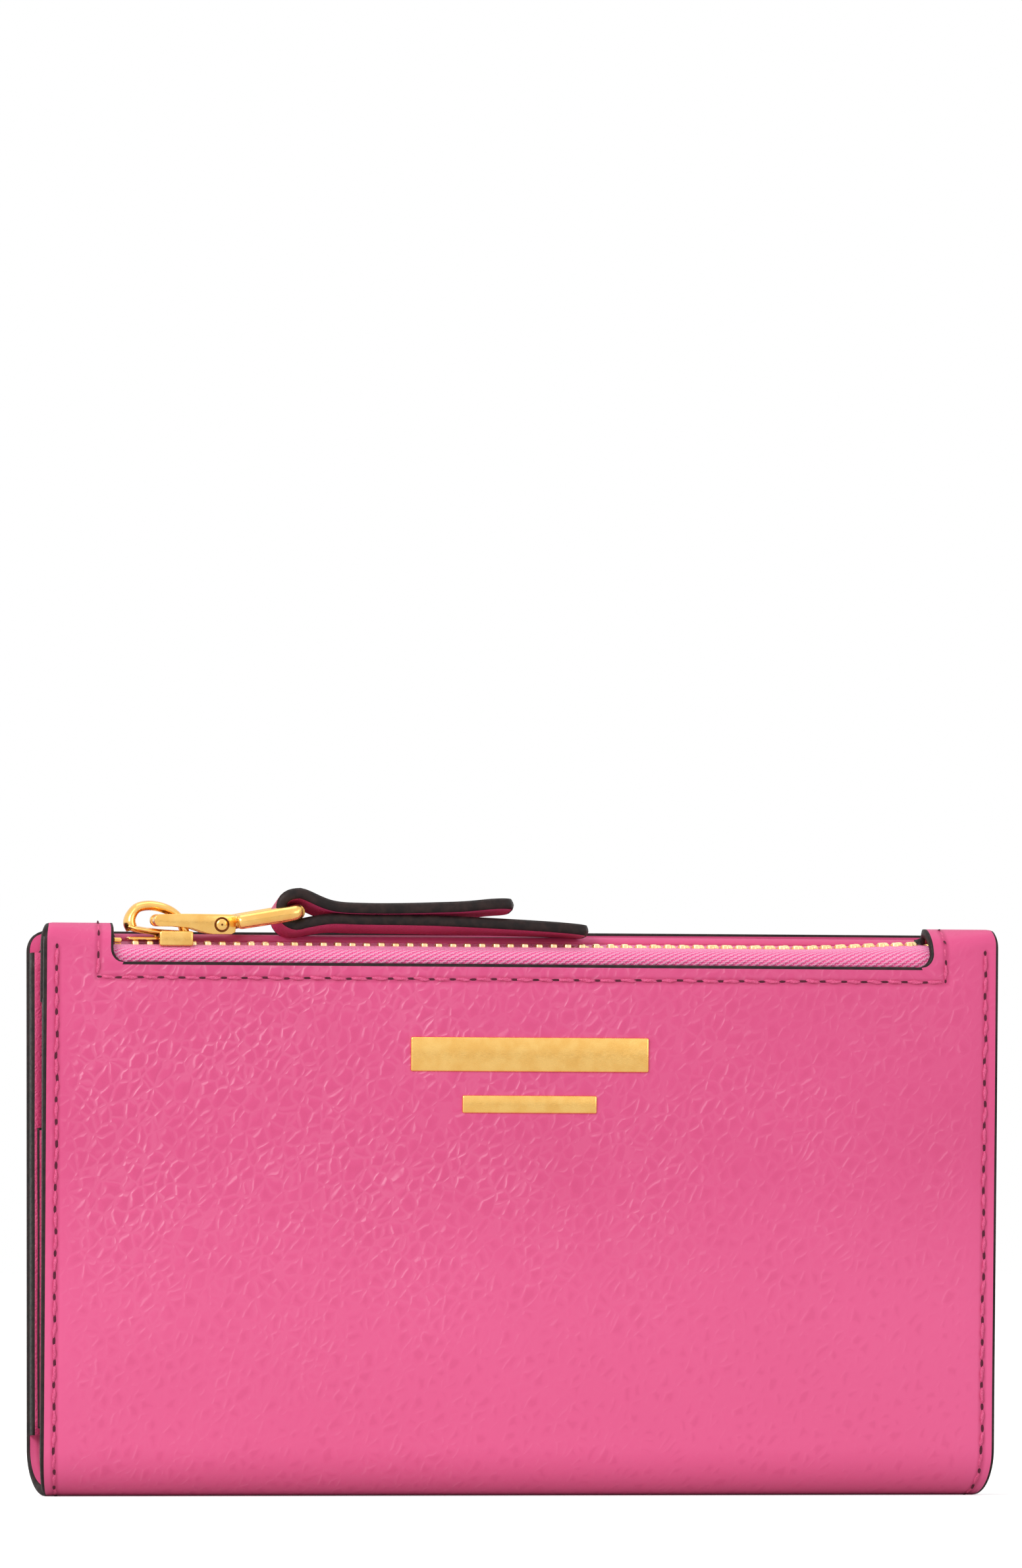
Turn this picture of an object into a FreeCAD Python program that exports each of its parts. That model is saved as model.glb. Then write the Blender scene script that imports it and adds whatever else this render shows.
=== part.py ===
"""Small folding wallet with a zipped coin pocket, standing closed on its fold.

Frame: X across the wallet, Y from the front half to the back half, Z up.  The origin is on the
ground under the middle of the fold.  Each half is modelled upright in its own flat frame, where
y is the depth from that half's outer face, and then leans outward about the axis of the fold.
"""
import FreeCAD, Part
import Sketcher
import os
import re

DIMENSIONS = {
    # overall
    "wallet_width": 152.0,
    "front_height": 89.5,
    "back_height": 88.4,
    "lean": 1.4,
    "corner_radius": 3.0,
    # leather, lining and edges
    "leather": 1.4,
    "panel_leather": 0.9,
    "pocket_sheet": 0.6,
    "lining": 0.5,
    "coin_cloth": 0.35,
    "layer_gap": 0.1,
    # fold
    "fold_radius": 7.6,
    "fold_taper": 1.0,
    "fold_angle": 35.0,
    # hood over the top edge of the front half, and its window
    "hood_radius": 4.4,
    "hood_flap_end": 77.2,
    "window_width": 130.6,
    "window_sill": 83.4,
    "window_far_depth": 7.4,
    "window_corner": 1.6,
    # inner leaves and card pockets
    "leaf_width": 148.0,
    "leaf_bottom": 12.0,
    "leaf_rim": 3.5,
    "front_leaf_top": 76.0,
    "front_leaf_low_depth": 2.4,
    "front_leaf_high_depth": 5.7,
    "back_leaf_top": 86.0,
    "bill_gap": 0.6,
    "pocket_width": 143.0,
    "pocket_step": 11.0,
    "pocket_foot": 1.0,
    "front_mouth": 18.0,
    "back_mouth": 80.0,
    "pouch_mouth_rise": 3.0,
    "pouch_foot": 2.0,
    "pouch_pressed": 12.0,
    # zip
    "chain_depth": 4.2,
    "chain_height": 86.4,
    "tooth_pitch": 2.29,
    "tooth_count": 55.0,
    "tooth_width": 1.5,
    "tooth_head_width": 1.0,
    "tooth_length": 1.3,
    "tooth_head_length": 1.3,
    "tooth_height": 1.5,
    "tooth_head_offset": 0.02,
    "tooth_row_start": -61.4,
    "tape": 0.45,
    "tape_foot_rise": 4.0,
    "tape_bend_drop": 1.0,
    "stop_length": 1.4,
    "stop_rim": 0.1,
    "stop_rounding": 0.3,
    "left_stop_gap": 0.2,
    "right_stop_gap": 0.5,
    # slider, a block of its own at the left end of the zip
    "slider_left": -63.3,
    "slider_length": 10.9,
    "slider_width": 6.2,
    "slider_plate": 1.2,
    "slider_clearance": 0.2,
    "slider_nose_radius": 1.6,
    "slider_flange": 0.5,
    "slider_flange_length": 5.5,
    "slider_flange_drop": 1.5,
    "bridge_length": 10.0,
    "bridge_width": 2.6,
    "bridge_rise": 4.15,
    "bridge_band": 1.3,
    "bridge_leg": 2.0,
    "bridge_inset": 0.2,
    "bridge_outer_radius": 2.6,
    "bridge_inner_radius": 1.3,
    # puller link, rivet, ring and strap
    "eye_x": -57.7,
    "eye_height": 89.75,
    "eye_radius": 0.8,
    "link_length": 12.1,
    "link_width": 5.0,
    "link_slot": 2.8,
    "link_tall": 3.0,
    "link_neck_start": 4.4,
    "link_neck_end": 2.6,
    "link_end_radius": 0.9,
    "rivet_x": -47.9,
    "rivet_height": 89.35,
    "rivet_radius": 1.1,
    "rivet_play": 0.05,
    "rivet_head": 0.25,
    "rivet_rounding": 0.2,
    "ring_reach": 12.05,
    "ring_rise": 9.8,
    "ring_width": 9.8,
    "ring_bar": 1.4,
    "ring_bar_height": 2.2,
    "ring_end_radius": 1.3,
    "ring_tongue": 2.4,
    "ring_eye_radius": 1.9,
    "ring_cross_start": 3.2,
    "ring_cross": 1.8,
    "strap_width": 6.1,
    "strap_ply": 1.65,
    "strap_loop_radius": 3.4,
    "strap_lower_length": 46.5,
    "strap_upper_length": 34.4,
    "strap_end_rounding": 0.45,
    # stitches and emblem
    "stitch_pitch": 3.3,
    "stitch_length": 2.6,
    "stitch_width": 0.55,
    "stitch_height": 0.2,
    "groove_depth": 0.25,
    "groove_width": 0.8,
    "side_stitch_inset": 1.95,
    "side_stitch_start": 0.5,
    "back_stitch_margin": 2.0,
    "back_groove_margin": 1.5,
    "window_stitch_inset": 2.3,
    "sill_stitch_start": 0.6,
    "ear_stitch_rise": 1.1,
    "emblem_height": 0.5,
    "emblem_x": 0.8,
    "emblem_corner": 0.35,
    "emblem_upper_width": 38.0,
    "emblem_upper_tall": 5.4,
    "emblem_upper_z": 69.6,
    "emblem_lower_width": 21.5,
    "emblem_lower_tall": 2.8,
    "emblem_lower_z": 61.8,
}

doc = FreeCAD.newDocument("FoldingWallet")
sheet = doc.addObject("Spreadsheet::Sheet", "Dims")
for row, (alias, value) in enumerate(DIMENSIONS.items(), start=1):
    sheet.set(f"A{row}", alias)
    sheet.set(f"B{row}", str(value))
    sheet.setAlias(f"B{row}", alias)
doc.recompute()

BODIES = []


# ---------------------------------------------------------------- helpers

def dims(text):
    """Turn a formula of bare dimension names into a formula over the spreadsheet."""
    return re.sub(r"[a-z_]+", lambda word: "Dims." + word[0] if word[0] in DIMENSIONS else word[0],
                  text)


def number(text):
    """The present value of a formula of dimension names."""
    return float(sheet.evalExpression(dims(text)))


def bind(thing, **formulas):
    """Bind each property of an object to a formula."""
    for name, formula in formulas.items():
        thing.setExpression(name, dims(formula))


def new_body(label):
    body = doc.addObject("PartDesign::Body", label)
    body.Label = label
    BODIES.append(body)
    return body


def plane(body, role):
    for feature in body.Origin.OriginFeatures:
        if feature.Role == role:
            return feature
    raise ValueError(role)


def put(thing, x, y, z, rotation=""):
    """Bind the place of a primitive or a body, with an optional rotation(...) formula."""
    turn = rotation or "rotation(vector(1; 0; 0); 0)"
    formula = f"placement(vector({dims(x)}; {dims(y)}; {dims(z)}); {dims(turn)})"
    thing.setExpression("Placement", formula)


def box(body, name, x, y, z, length, width, height, cut=False):
    """A block from its low corner and its sizes along X, Y and Z."""
    kind = "PartDesign::SubtractiveBox" if cut else "PartDesign::AdditiveBox"
    block = body.newObject(kind, name)
    bind(block, Length=length, Width=width, Height=height)
    put(block, x, y, z)
    return block


def rod(body, name, x, y, z, radius, length, start="0", sweep="360", along="x", cut=False):
    """A cylinder along X or Y, or a sector of one along X.

    A start of 0 is straight down, and the sector turns toward +Y."""
    kind = "PartDesign::SubtractiveCylinder" if cut else "PartDesign::AdditiveCylinder"
    part = body.newObject(kind, name)
    bind(part, Radius=radius, Height=length, Angle=sweep)
    if along == "x":
        turn = f"rotation(vector(1; 0; 0); {start} ) * rotation(vector(0; 1; 0); 90)"
    else:
        turn = "rotation(vector(1; 0; 0); -90)"
    put(part, x, y, z, turn)
    return part


def outline(body, name, role, corners):
    """A closed sketch of straight edges; each corner is a pair of bound coordinates."""
    sketch = body.newObject("Sketcher::SketchObject", name)
    sketch.AttachmentSupport = [(plane(body, role), "")]
    sketch.MapMode = "FlatFace"
    points = [FreeCAD.Vector(number(a), number(b), 0) for a, b in corners]
    count = len(points)
    for i in range(count):
        sketch.addGeometry(Part.LineSegment(points[i], points[(i + 1) % count]), False)
    for i in range(count):
        sketch.addConstraint(Sketcher.Constraint("Coincident", i, 2, (i + 1) % count, 1))
    for i, corner in enumerate(corners):
        for kind, value, formula in (("DistanceX", points[i].x, corner[0]),
                                     ("DistanceY", points[i].y, corner[1])):
            index = sketch.addConstraint(Sketcher.Constraint(kind, i, 1, value))
            sketch.setExpression(f"Constraints[{index}]", dims(formula))
    return sketch


def pad(body, name, sketch, length, cut=False):
    """Pad or pocket a sketch evenly to both sides of its plane."""
    feature = body.newObject("PartDesign::Pocket" if cut else "PartDesign::Pad", name)
    feature.Profile = sketch
    feature.SideType = "Symmetric"
    bind(feature, Length=length)
    return feature


def round_edges(body, name, radius, wanted):
    """Fillet the edges of the body's last feature for which wanted(edge) is true."""
    doc.recompute()
    base = body.Tip
    names = [f"Edge{i}" for i, edge in enumerate(base.Shape.Edges, start=1) if wanted(edge)]
    fillet = body.newObject("PartDesign::Fillet", name)
    fillet.Base = (base, names)
    bind(fillet, Radius=radius)
    return fillet


def is_line(edge, axis):
    """True for a straight edge along the axis 0, 1 or 2."""
    if edge.Curve.TypeId != "Part::GeomLine":
        return False
    run = edge.Vertexes[1].Point - edge.Vertexes[0].Point
    return abs(abs(run[axis]) - run.Length) < 1e-6


def lean_half(body, side):
    """Stand a flat half on the fold: side is -1 for the front half and 1 for the back half."""
    across = f"( fold_radius * cos(lean) - fold_radius * sin(lean) ) * {side}"
    up = "fold_radius - fold_radius * sin(lean) - fold_radius * cos(lean)"
    put(body, "0", across, up, f"rotation(vector(1; 0; 0); lean * {-side} )")


def depth_box(body, name, side, x, depth, z, length, thick, height, cut=False):
    """A block of a half, whose y is a depth from the outer face (front -1, back 1)."""
    low = depth if side < 0 else f"0 - ( {depth} ) - ( {thick} )"
    return box(body, name, x, low, z, length, thick, height, cut)


def taper_at_fold(body):
    """Draw the side edges in toward the ground; the cuts reach 1 mm past the leather."""
    for side in (-1, 1):
        corners = [(f"wallet_width / 2 * {side}", "fold_radius"),
                   (f"( wallet_width / 2 + 1 ) * {side}", "fold_radius"),
                   (f"( wallet_width / 2 + 1 ) * {side}", "-1"),
                   (f"( wallet_width / 2 - fold_taper ) * {side}", "-1")]
        label = "TaperRight" if side > 0 else "TaperLeft"
        pad(body, label, outline(body, label + "Outline", "XZ_Plane", corners),
            "6 * fold_radius", cut=True)


def fold_arc(body, side, thick, inset, width):
    """The quarter of the fold that belongs to a half, down to its hinge line."""
    y = "fold_radius" if side < 0 else "0 - fold_radius"
    start = "270" if side < 0 else "90 - fold_angle + lean"
    sweep = "fold_angle - lean"
    left = f"0 - ( {width} ) / 2"
    rod(body, "FoldArc", left, y, "fold_radius", f"fold_radius - {inset}", width, start, sweep)
    rod(body, "FoldHollow", left, y, "fold_radius", f"fold_radius - {inset} - {thick}", width,
        cut=True)


def stitch_grooves(body, side, top):
    """The shallow channels in the outer face that the side stitches lie in."""
    for label, x in (("LeftGroove", "side_stitch_inset - wallet_width / 2"),
                     ("RightGroove", "wallet_width / 2 - side_stitch_inset")):
        depth_box(body, label, side, f"{x} - groove_width / 2", "0 - groove_depth",
                  "fold_radius", "groove_width", "2 * groove_depth", f"{top} - fold_radius",
                  cut=True)


# ---------------------------------------------------------------- fold

def spine_leather():
    body = new_body("spine_leather")
    start, sweep = "fold_angle - 90", "180 - 2 * fold_angle"
    rod(body, "Tube", "0 - wallet_width / 2", "0", "fold_radius", "fold_radius",
        "wallet_width", start, sweep)
    rod(body, "Hollow", "0 - wallet_width / 2", "0", "fold_radius", "fold_radius - leather",
        "wallet_width", cut=True)
    taper_at_fold(body)


def spine_lining():
    body = new_body("spine_lining")
    start, sweep = "fold_angle - 90", "180 - 2 * fold_angle"
    rod(body, "Tube", "0 - leaf_width / 2", "0", "fold_radius", "fold_radius - leather",
        "leaf_width", start, sweep)
    rod(body, "Hollow", "0 - leaf_width / 2", "0", "fold_radius",
        "fold_radius - leather - lining", "leaf_width", cut=True)


# ---------------------------------------------------------------- back half

def back_panel():
    body = new_body("back_panel")
    depth_box(body, "Sheet", 1, "0 - wallet_width / 2", "0", "fold_radius", "wallet_width",
              "leather", "back_height - fold_radius")
    round_edges(body, "TopCorners", "corner_radius",
                lambda edge: is_line(edge, 1) and edge.CenterOfMass.z > number("window_sill"))
    fold_arc(body, 1, "leather", "0", "wallet_width")
    taper_at_fold(body)
    stitch_grooves(body, 1, "back_height - back_groove_margin")
    lean_half(body, 1)


def back_lining():
    body = new_body("back_lining")
    depth_box(body, "Sheet", 1, "0 - leaf_width / 2", "leather", "fold_radius", "leaf_width",
              "lining", "back_leaf_top - fold_radius")
    fold_arc(body, 1, "lining", "leather", "leaf_width")
    lean_half(body, 1)


def back_inner_panel():
    """Base leaf of the card pockets; its rims hold it off the lining as the bill compartment."""
    body = new_body("back_inner_panel")
    leaf_depth = "leather + lining + bill_gap"
    tall = "back_leaf_top - leaf_bottom"
    depth_box(body, "Leaf", 1, "0 - leaf_width / 2", leaf_depth, "leaf_bottom", "leaf_width",
              "panel_leather", tall)
    depth_box(body, "LeftRim", 1, "0 - leaf_width / 2", "leather + lining", "leaf_bottom",
              "leaf_rim", "bill_gap", tall)
    depth_box(body, "RightRim", 1, "leaf_width / 2 - leaf_rim", "leather + lining",
              "leaf_bottom", "leaf_rim", "bill_gap", tall)
    depth_box(body, "BottomRim", 1, "0 - leaf_width / 2", "leather + lining", "leaf_bottom",
              "leaf_width", "bill_gap", "leaf_rim")
    round_edges(body, "TopCorners", "corner_radius",
                lambda edge: is_line(edge, 1)
                and abs(edge.CenterOfMass.x) > number("leaf_width / 2 - 1")
                and edge.CenterOfMass.z > number("back_leaf_top - 1"))
    lean_half(body, 1)


def back_pocket(index):
    """One card pocket sheet; the deepest one reaches highest."""
    body = new_body(f"back_pocket_{index + 1}")
    depth = (f"leather + lining + bill_gap + panel_leather + layer_gap"
             f" + {index} * ( pocket_sheet + layer_gap )")
    top = f"back_mouth - {index} * pocket_step"
    foot = "leaf_bottom + pocket_foot"
    depth_box(body, "Sheet", 1, "0 - pocket_width / 2", depth, foot, "pocket_width",
              "pocket_sheet", f"{top} - ( {foot} )")
    lean_half(body, 1)


# ---------------------------------------------------------------- front half

def front_panel():
    """Outer leather that wraps over the top as a hood and returns inside as a short flap."""
    body = new_body("front_panel")
    left = "0 - wallet_width / 2"
    hood_centre = "front_height - hood_radius"
    depth_box(body, "Sheet", -1, left, "0", "fold_radius", "wallet_width", "leather",
              f"{hood_centre} - fold_radius")
    rod(body, "Hood", left, "hood_radius", hood_centre, "hood_radius", "wallet_width", "90", "180")
    depth_box(body, "Flap", -1, left, "2 * hood_radius - leather", "hood_flap_end",
              "wallet_width", "leather", f"{hood_centre} - hood_flap_end")
    rod(body, "HoodHollow", left, "hood_radius", hood_centre, "hood_radius - leather",
        "wallet_width", cut=True)
    fold_arc(body, -1, "leather", "0", "wallet_width")
    taper_at_fold(body)
    stitch_grooves(body, -1, "front_height - hood_radius")
    depth_box(body, "Window", -1, "0 - window_width / 2", "-1", "window_sill", "window_width",
              "window_far_depth + 1", "front_height - window_sill + 1", cut=True)
    round_edges(body, "WindowCorners", "window_corner",
                lambda edge: is_line(edge, 1)
                and abs(edge.CenterOfMass.z - number("window_sill")) < 0.01)
    lean_half(body, -1)


def front_leaf_depth(height):
    """Depth of the sloping front leaf's outer side at a height."""
    return (f"front_leaf_low_depth + ( front_leaf_high_depth - front_leaf_low_depth )"
            f" * ( {height} - leaf_bottom ) / ( front_leaf_top - leaf_bottom )")


def sloping_sheet(body, name, bottom, top, offset, thick, width):
    """A sheet parallel to the sloping front leaf, between two heights."""
    low, high = front_leaf_depth(bottom), front_leaf_depth(top)
    corners = [(f"{low} + {offset}", bottom),
               (f"{low} + {offset} + {thick}", bottom),
               (f"{high} + {offset} + {thick}", top),
               (f"{high} + {offset}", top)]
    return pad(body, name, outline(body, name + "Outline", "YZ_Plane", corners), width)


def front_inner_panel():
    """Base leaf of the front card pockets, with the pressed layers of both side edges."""
    body = new_body("front_inner_panel")
    rim_corners = [("leather", "leaf_bottom"),
                   (front_leaf_depth("leaf_bottom"), "leaf_bottom"),
                   (front_leaf_depth("front_leaf_top"), "front_leaf_top"),
                   ("leather", "front_leaf_top")]
    pad(body, "Rims", outline(body, "RimOutline", "YZ_Plane", rim_corners), "leaf_width")
    box(body, "PouchSpace", "leaf_rim - leaf_width / 2", "0", "leaf_bottom + leaf_rim",
        "leaf_width - 2 * leaf_rim", "2 * hood_radius", "front_leaf_top", cut=True)
    sloping_sheet(body, "Leaf", "leaf_bottom", "front_leaf_top", "0", "panel_leather",
                  "leaf_width")
    lean_half(body, -1)


def front_pocket(index):
    """One card pocket sheet; its mouth opens toward the fold."""
    body = new_body(f"front_pocket_{index + 1}")
    offset = f"panel_leather + layer_gap + {index} * ( pocket_sheet + layer_gap )"
    sloping_sheet(body, "Sheet", f"front_mouth + {index} * pocket_step",
                  "front_leaf_top - pocket_foot", offset, "pocket_sheet", "pocket_width")
    lean_half(body, -1)


def coin_pocket_lining():
    """Flat cloth pouch that hangs from both zipper tapes; its foot is pressed shut."""
    body = new_body("coin_pocket_lining")
    mouth = "front_leaf_top + pouch_mouth_rise"
    bottom = "leaf_bottom + leaf_rim + pouch_foot"
    inside = f"{bottom} + pouch_pressed"
    front = "leather + tape + layer_gap"
    back_low = f"{front_leaf_depth(bottom)} - layer_gap"
    back_high = f"{front_leaf_depth(mouth)} - layer_gap"
    outer = [(front, bottom), (back_low, bottom), (back_high, mouth), (front, mouth)]
    inner = [(f"{front} + coin_cloth", inside),
             (f"{front_leaf_depth(inside)} - layer_gap - coin_cloth", inside),
             (f"{back_high} - coin_cloth", mouth),
             (f"{front} + coin_cloth", mouth)]
    width = "window_width - 2"
    pad(body, "Pouch", outline(body, "PouchOutline", "YZ_Plane", outer), width)
    pad(body, "Inside", outline(body, "InsideOutline", "YZ_Plane", inner),
        f"{width} - 2 * coin_cloth", cut=True)
    lean_half(body, -1)


# ---------------------------------------------------------------- zip

def zipper_tape(side):
    """Woven tape between a row of teeth and the leather; side -1 is the near tape."""
    body = new_body("zipper_tape_front" if side < 0 else "zipper_tape_rear")
    reach = "tooth_length + tooth_head_length / 2"
    edge = f"chain_depth + {side} * ( {reach} )"
    anchor = "leather" if side < 0 else "2 * hood_radius - leather - tape"
    foot, bend = "front_leaf_top + tape_foot_rise", "window_sill - tape_bend_drop"
    lip = f"{edge} - tape" if side < 0 else edge
    corners = [(anchor, foot),
               (f"{anchor} + tape", foot),
               (f"{anchor} + tape", bend),
               (f"{lip} + tape", "chain_height + tape"),
               (lip, "chain_height + tape"),
               (anchor, bend)]
    pad(body, "Strip", outline(body, "StripOutline", "YZ_Plane", corners), "window_width - 1")
    lean_half(body, -1)


def zipper_teeth(side):
    """A row of teeth: a wide root at the tape and a narrow head that meshes at mid chain."""
    body = new_body("zipper_teeth_front" if side < 0 else "zipper_teeth_rear")
    body.AllowCompound = True
    shift = "0" if side < 0 else "tooth_pitch / 2"
    centre = f"tooth_row_start + {shift}"
    low = "chain_height - tooth_height / 2"
    reach = "tooth_length + tooth_head_length / 2"
    root_y = f"chain_depth - ( {reach} )" if side < 0 else "chain_depth + tooth_head_length / 2"
    head_y = f"chain_depth - tooth_head_length / 2 + {side} * tooth_head_offset"
    root = box(body, "Root", f"{centre} - tooth_width / 2", root_y, low, "tooth_width",
               "tooth_length", "tooth_height")
    head = box(body, "Head", f"{centre} - tooth_head_width / 2", head_y, low,
               "tooth_head_width", "tooth_head_length", "tooth_height")
    doc.recompute()
    row = body.newObject("PartDesign::LinearPattern", "Row")
    row.Originals = [root, head]
    row.Direction = (plane(body, "X_Axis"), [""])
    bind(row, Length="tooth_pitch * ( tooth_count - 1 )", Occurrences="tooth_count")
    body.Tip = row
    lean_half(body, -1)


def zipper_stop(label, x):
    """Metal stop clamped over the tape's end of the chain."""
    body = new_body(label)
    box(body, "Block", x, "chain_depth - tooth_length",
        "chain_height - tooth_height / 2 - stop_rim", "stop_length", "2 * tooth_length",
        "tooth_height + 2 * stop_rim")
    round_edges(body, "Rounding", "stop_rounding", lambda edge: is_line(edge, 1))
    lean_half(body, -1)


# ---------------------------------------------------------------- slider and pull

SLIDER_FOOT = "chain_height + tooth_height / 2 + slider_clearance"


def slider_body():
    """Top plate of the slider with the two flanges that hang outside the tapes."""
    body = new_body("slider_body")
    near = "chain_depth - slider_width / 2"
    far = "chain_depth + slider_width / 2 - slider_flange"
    box(body, "Plate", "slider_left", near, SLIDER_FOOT, "slider_length", "slider_width",
        "slider_plate")
    round_edges(body, "NoseCorners", "slider_nose_radius", lambda edge: is_line(edge, 2))
    flange_left = "slider_left + slider_length - slider_flange_length"
    for name, y in (("NearFlange", near), ("FarFlange", far)):
        box(body, name, flange_left, y, f"{SLIDER_FOOT} - slider_flange_drop",
            "slider_flange_length - slider_nose_radius", "slider_flange",
            "slider_flange_drop + slider_plate / 2")
    lean_half(body, -1)


def slider_bridge():
    """Arch over the slider in which the puller link hangs."""
    body = new_body("slider_bridge")
    plate_top = f"{SLIDER_FOOT} + slider_plate"
    opening_top = f"{plate_top} + bridge_rise - bridge_band"
    left = "slider_left + bridge_inset"
    near = "chain_depth - bridge_width / 2"
    box(body, "Arch", left, near, plate_top, "bridge_length", "bridge_width", "bridge_rise")
    round_edges(body, "Shoulders", "bridge_outer_radius",
                lambda edge: is_line(edge, 1) and edge.CenterOfMass.z > number("eye_height"))
    box(body, "Opening", f"{left} + bridge_leg", near, plate_top,
        "bridge_length - bridge_leg - bridge_band", "bridge_width",
        "bridge_rise - bridge_band", cut=True)
    round_edges(body, "InnerShoulders", "bridge_inner_radius",
                lambda edge: is_line(edge, 1)
                and abs(edge.CenterOfMass.z - number(opening_top)) < 0.01)
    lean_half(body, -1)


def puller_link():
    """Fork that hangs in the bridge by its end bar and holds the ring's tongue at the rivet."""
    body = new_body("puller_link")
    near = "chain_depth - link_width / 2"
    bottom, top = "rivet_height - link_tall / 2", "rivet_height + link_tall / 2"
    right = "eye_x + link_length"
    corners = [("eye_x", "eye_height - eye_radius"),
               ("rivet_x - link_neck_start", "eye_height - eye_radius"),
               ("rivet_x - link_neck_end", bottom),
               (right, bottom),
               (right, top),
               ("rivet_x - link_neck_end", top),
               ("eye_x", "eye_height + eye_radius")]
    profile = outline(body, "ArmOutline", "XZ_Plane", corners)
    arms = pad(body, "Arms", profile, "link_width")
    arms.SideType = "One side"
    bind(arms, Length="chain_depth + link_width / 2")
    arms.Reversed = True
    box(body, "NearTrim", "eye_x - 1", "-1", bottom + " - 1", "link_length + 2",
        f"{near} + 1", "link_tall + 3", cut=True)
    rod(body, "EyeBar", "eye_x", near, "eye_height", "eye_radius", "link_width", along="y")
    box(body, "Slot", "eye_x + eye_radius", "chain_depth - link_slot / 2", bottom + " - 1",
        "link_length", "link_slot", "link_tall + 3", cut=True)
    round_edges(body, "EndCorners", "link_end_radius",
                lambda edge: is_line(edge, 1) and abs(edge.CenterOfMass.x - number(right)) < 0.01)
    rod(body, "RivetHole", "rivet_x", near, "rivet_height", "rivet_radius", "link_width",
        along="y", cut=True)
    lean_half(body, -1)


def link_rivet():
    body = new_body("link_rivet")
    rod(body, "Shank", "rivet_x", "chain_depth - link_width / 2 - rivet_head", "rivet_height",
        "rivet_radius", "link_width + 2 * rivet_head", along="y")
    round_edges(body, "Heads", "rivet_rounding", lambda edge: edge.Curve.TypeId == "Part::GeomCircle")
    lean_half(body, -1)


def pull_ring():
    """Rectangular loop, drawn along its own X from the rivet and then raised at the strap end."""
    body = new_body("pull_ring")
    low = "0 - ring_bar_height / 2"
    half = "ring_width / 2"
    rod(body, "TongueEye", "0", "0 - ring_tongue / 2", "0", "ring_eye_radius", "ring_tongue",
        along="y")
    box(body, "Tongue", "0", "0 - ring_tongue / 2", low, "ring_cross_start + ring_cross / 2",
        "ring_tongue", "ring_bar_height")
    box(body, "CrossBar", "ring_cross_start", f"0 - {half}", low, "ring_cross", "ring_width",
        "ring_bar_height")
    for name, y in (("NearBar", f"0 - {half}"), ("FarBar", f"{half} - ring_bar")):
        box(body, name, "ring_cross_start", y, low, "ring_reach - ring_cross_start", "ring_bar",
            "ring_bar_height")
    rod(body, "EndBar", "ring_reach", f"0 - {half}", "0", "ring_end_radius", "ring_width",
        along="y")
    rod(body, "RivetHole", "0", "0 - ring_tongue", "0", "rivet_radius + rivet_play",
        "2 * ring_tongue", along="y", cut=True)
    turn = "rotation(vector(1; 0; 0); lean ) * rotation(vector(0; 1; 0); 0 - ring_rise )"
    across = "( chain_depth - fold_radius )"
    up = "( rivet_height - fold_radius )"
    put(body, "rivet_x", f"{across} * cos(lean) - {up} * sin(lean)",
        f"fold_radius + {across} * sin(lean) + {up} * cos(lean)", turn)


def pull_strap():
    """One strip of leather doubled round the ring's end bar; the lower ply is the longer one."""
    body = new_body("pull_strap")
    x = "rivet_x + ring_reach * cos(ring_rise)"
    z = "rivet_height + ring_reach * sin(ring_rise)"
    near = "chain_depth - strap_width / 2"
    rod(body, "Loop", x, near, z, "strap_loop_radius", "strap_width", along="y")
    box(body, "LowerPly", x, near, f"{z} - strap_ply", "strap_lower_length", "strap_width",
        "strap_ply")
    box(body, "UpperPly", x, near, z, "strap_upper_length", "strap_width", "strap_ply")
    rod(body, "Eye", x, near, z, "strap_loop_radius - strap_ply", "strap_width", along="y",
        cut=True)
    round_edges(body, "LowerEnd", "strap_ply * strap_end_rounding",
                lambda edge: is_line(edge, 1)
                and edge.CenterOfMass.x > number("rivet_x + strap_lower_length + ring_reach - 1"))
    lean_half(body, -1)


# ---------------------------------------------------------------- stitches and emblem

def stitch_column(label, side, x, bottom, top):
    """A row of stitches up one side edge, lying in a groove of the outer face of a half."""
    body = new_body(label)
    body.AllowCompound = True
    stitch = depth_box(body, "Stitch", side, f"{x} - stitch_width / 2",
                       "groove_depth - stitch_height", bottom, "stitch_width", "stitch_height",
                       "stitch_length")
    doc.recompute()
    row = body.newObject("PartDesign::LinearPattern", "Row")
    row.Originals = [stitch]
    row.Direction = (plane(body, "Z_Axis"), [""])
    count = int(number(f"( {top} - {bottom} ) / stitch_pitch"))
    bind(row, Length=f"stitch_pitch * {count - 1}")
    row.Occurrences = count
    body.Tip = row
    lean_half(body, side)


def window_thread():
    """Stitches below the window's sill and up both ears beside it."""
    body = new_body("window_thread")
    body.AllowCompound = True
    run = "window_width + 2 * window_stitch_inset"
    sill = depth_box(body, "SillStitch", -1, f"0 - ( {run} ) / 2 + sill_stitch_start",
                     "0 - stitch_height", "window_sill - window_stitch_inset", "stitch_length",
                     "stitch_height", "stitch_width")
    doc.recompute()
    sill_row = body.newObject("PartDesign::LinearPattern", "SillRow")
    sill_row.Originals = [sill]
    sill_row.Direction = (plane(body, "X_Axis"), [""])
    count = int(number(f"( {run} ) / stitch_pitch"))
    bind(sill_row, Length=f"stitch_pitch * {count - 1}")
    sill_row.Occurrences = count
    body.Tip = sill_row
    doc.recompute()
    for name, x in (("LeftStitch", f"0 - ( {run} ) / 2"), ("RightStitch", f"( {run} ) / 2")):
        depth_box(body, name, -1, f"{x} - stitch_width / 2", "0 - stitch_height",
                  "window_sill - window_stitch_inset + ear_stitch_rise", "stitch_width",
                  "stitch_height", "stitch_length")
    lean_half(body, -1)


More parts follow.
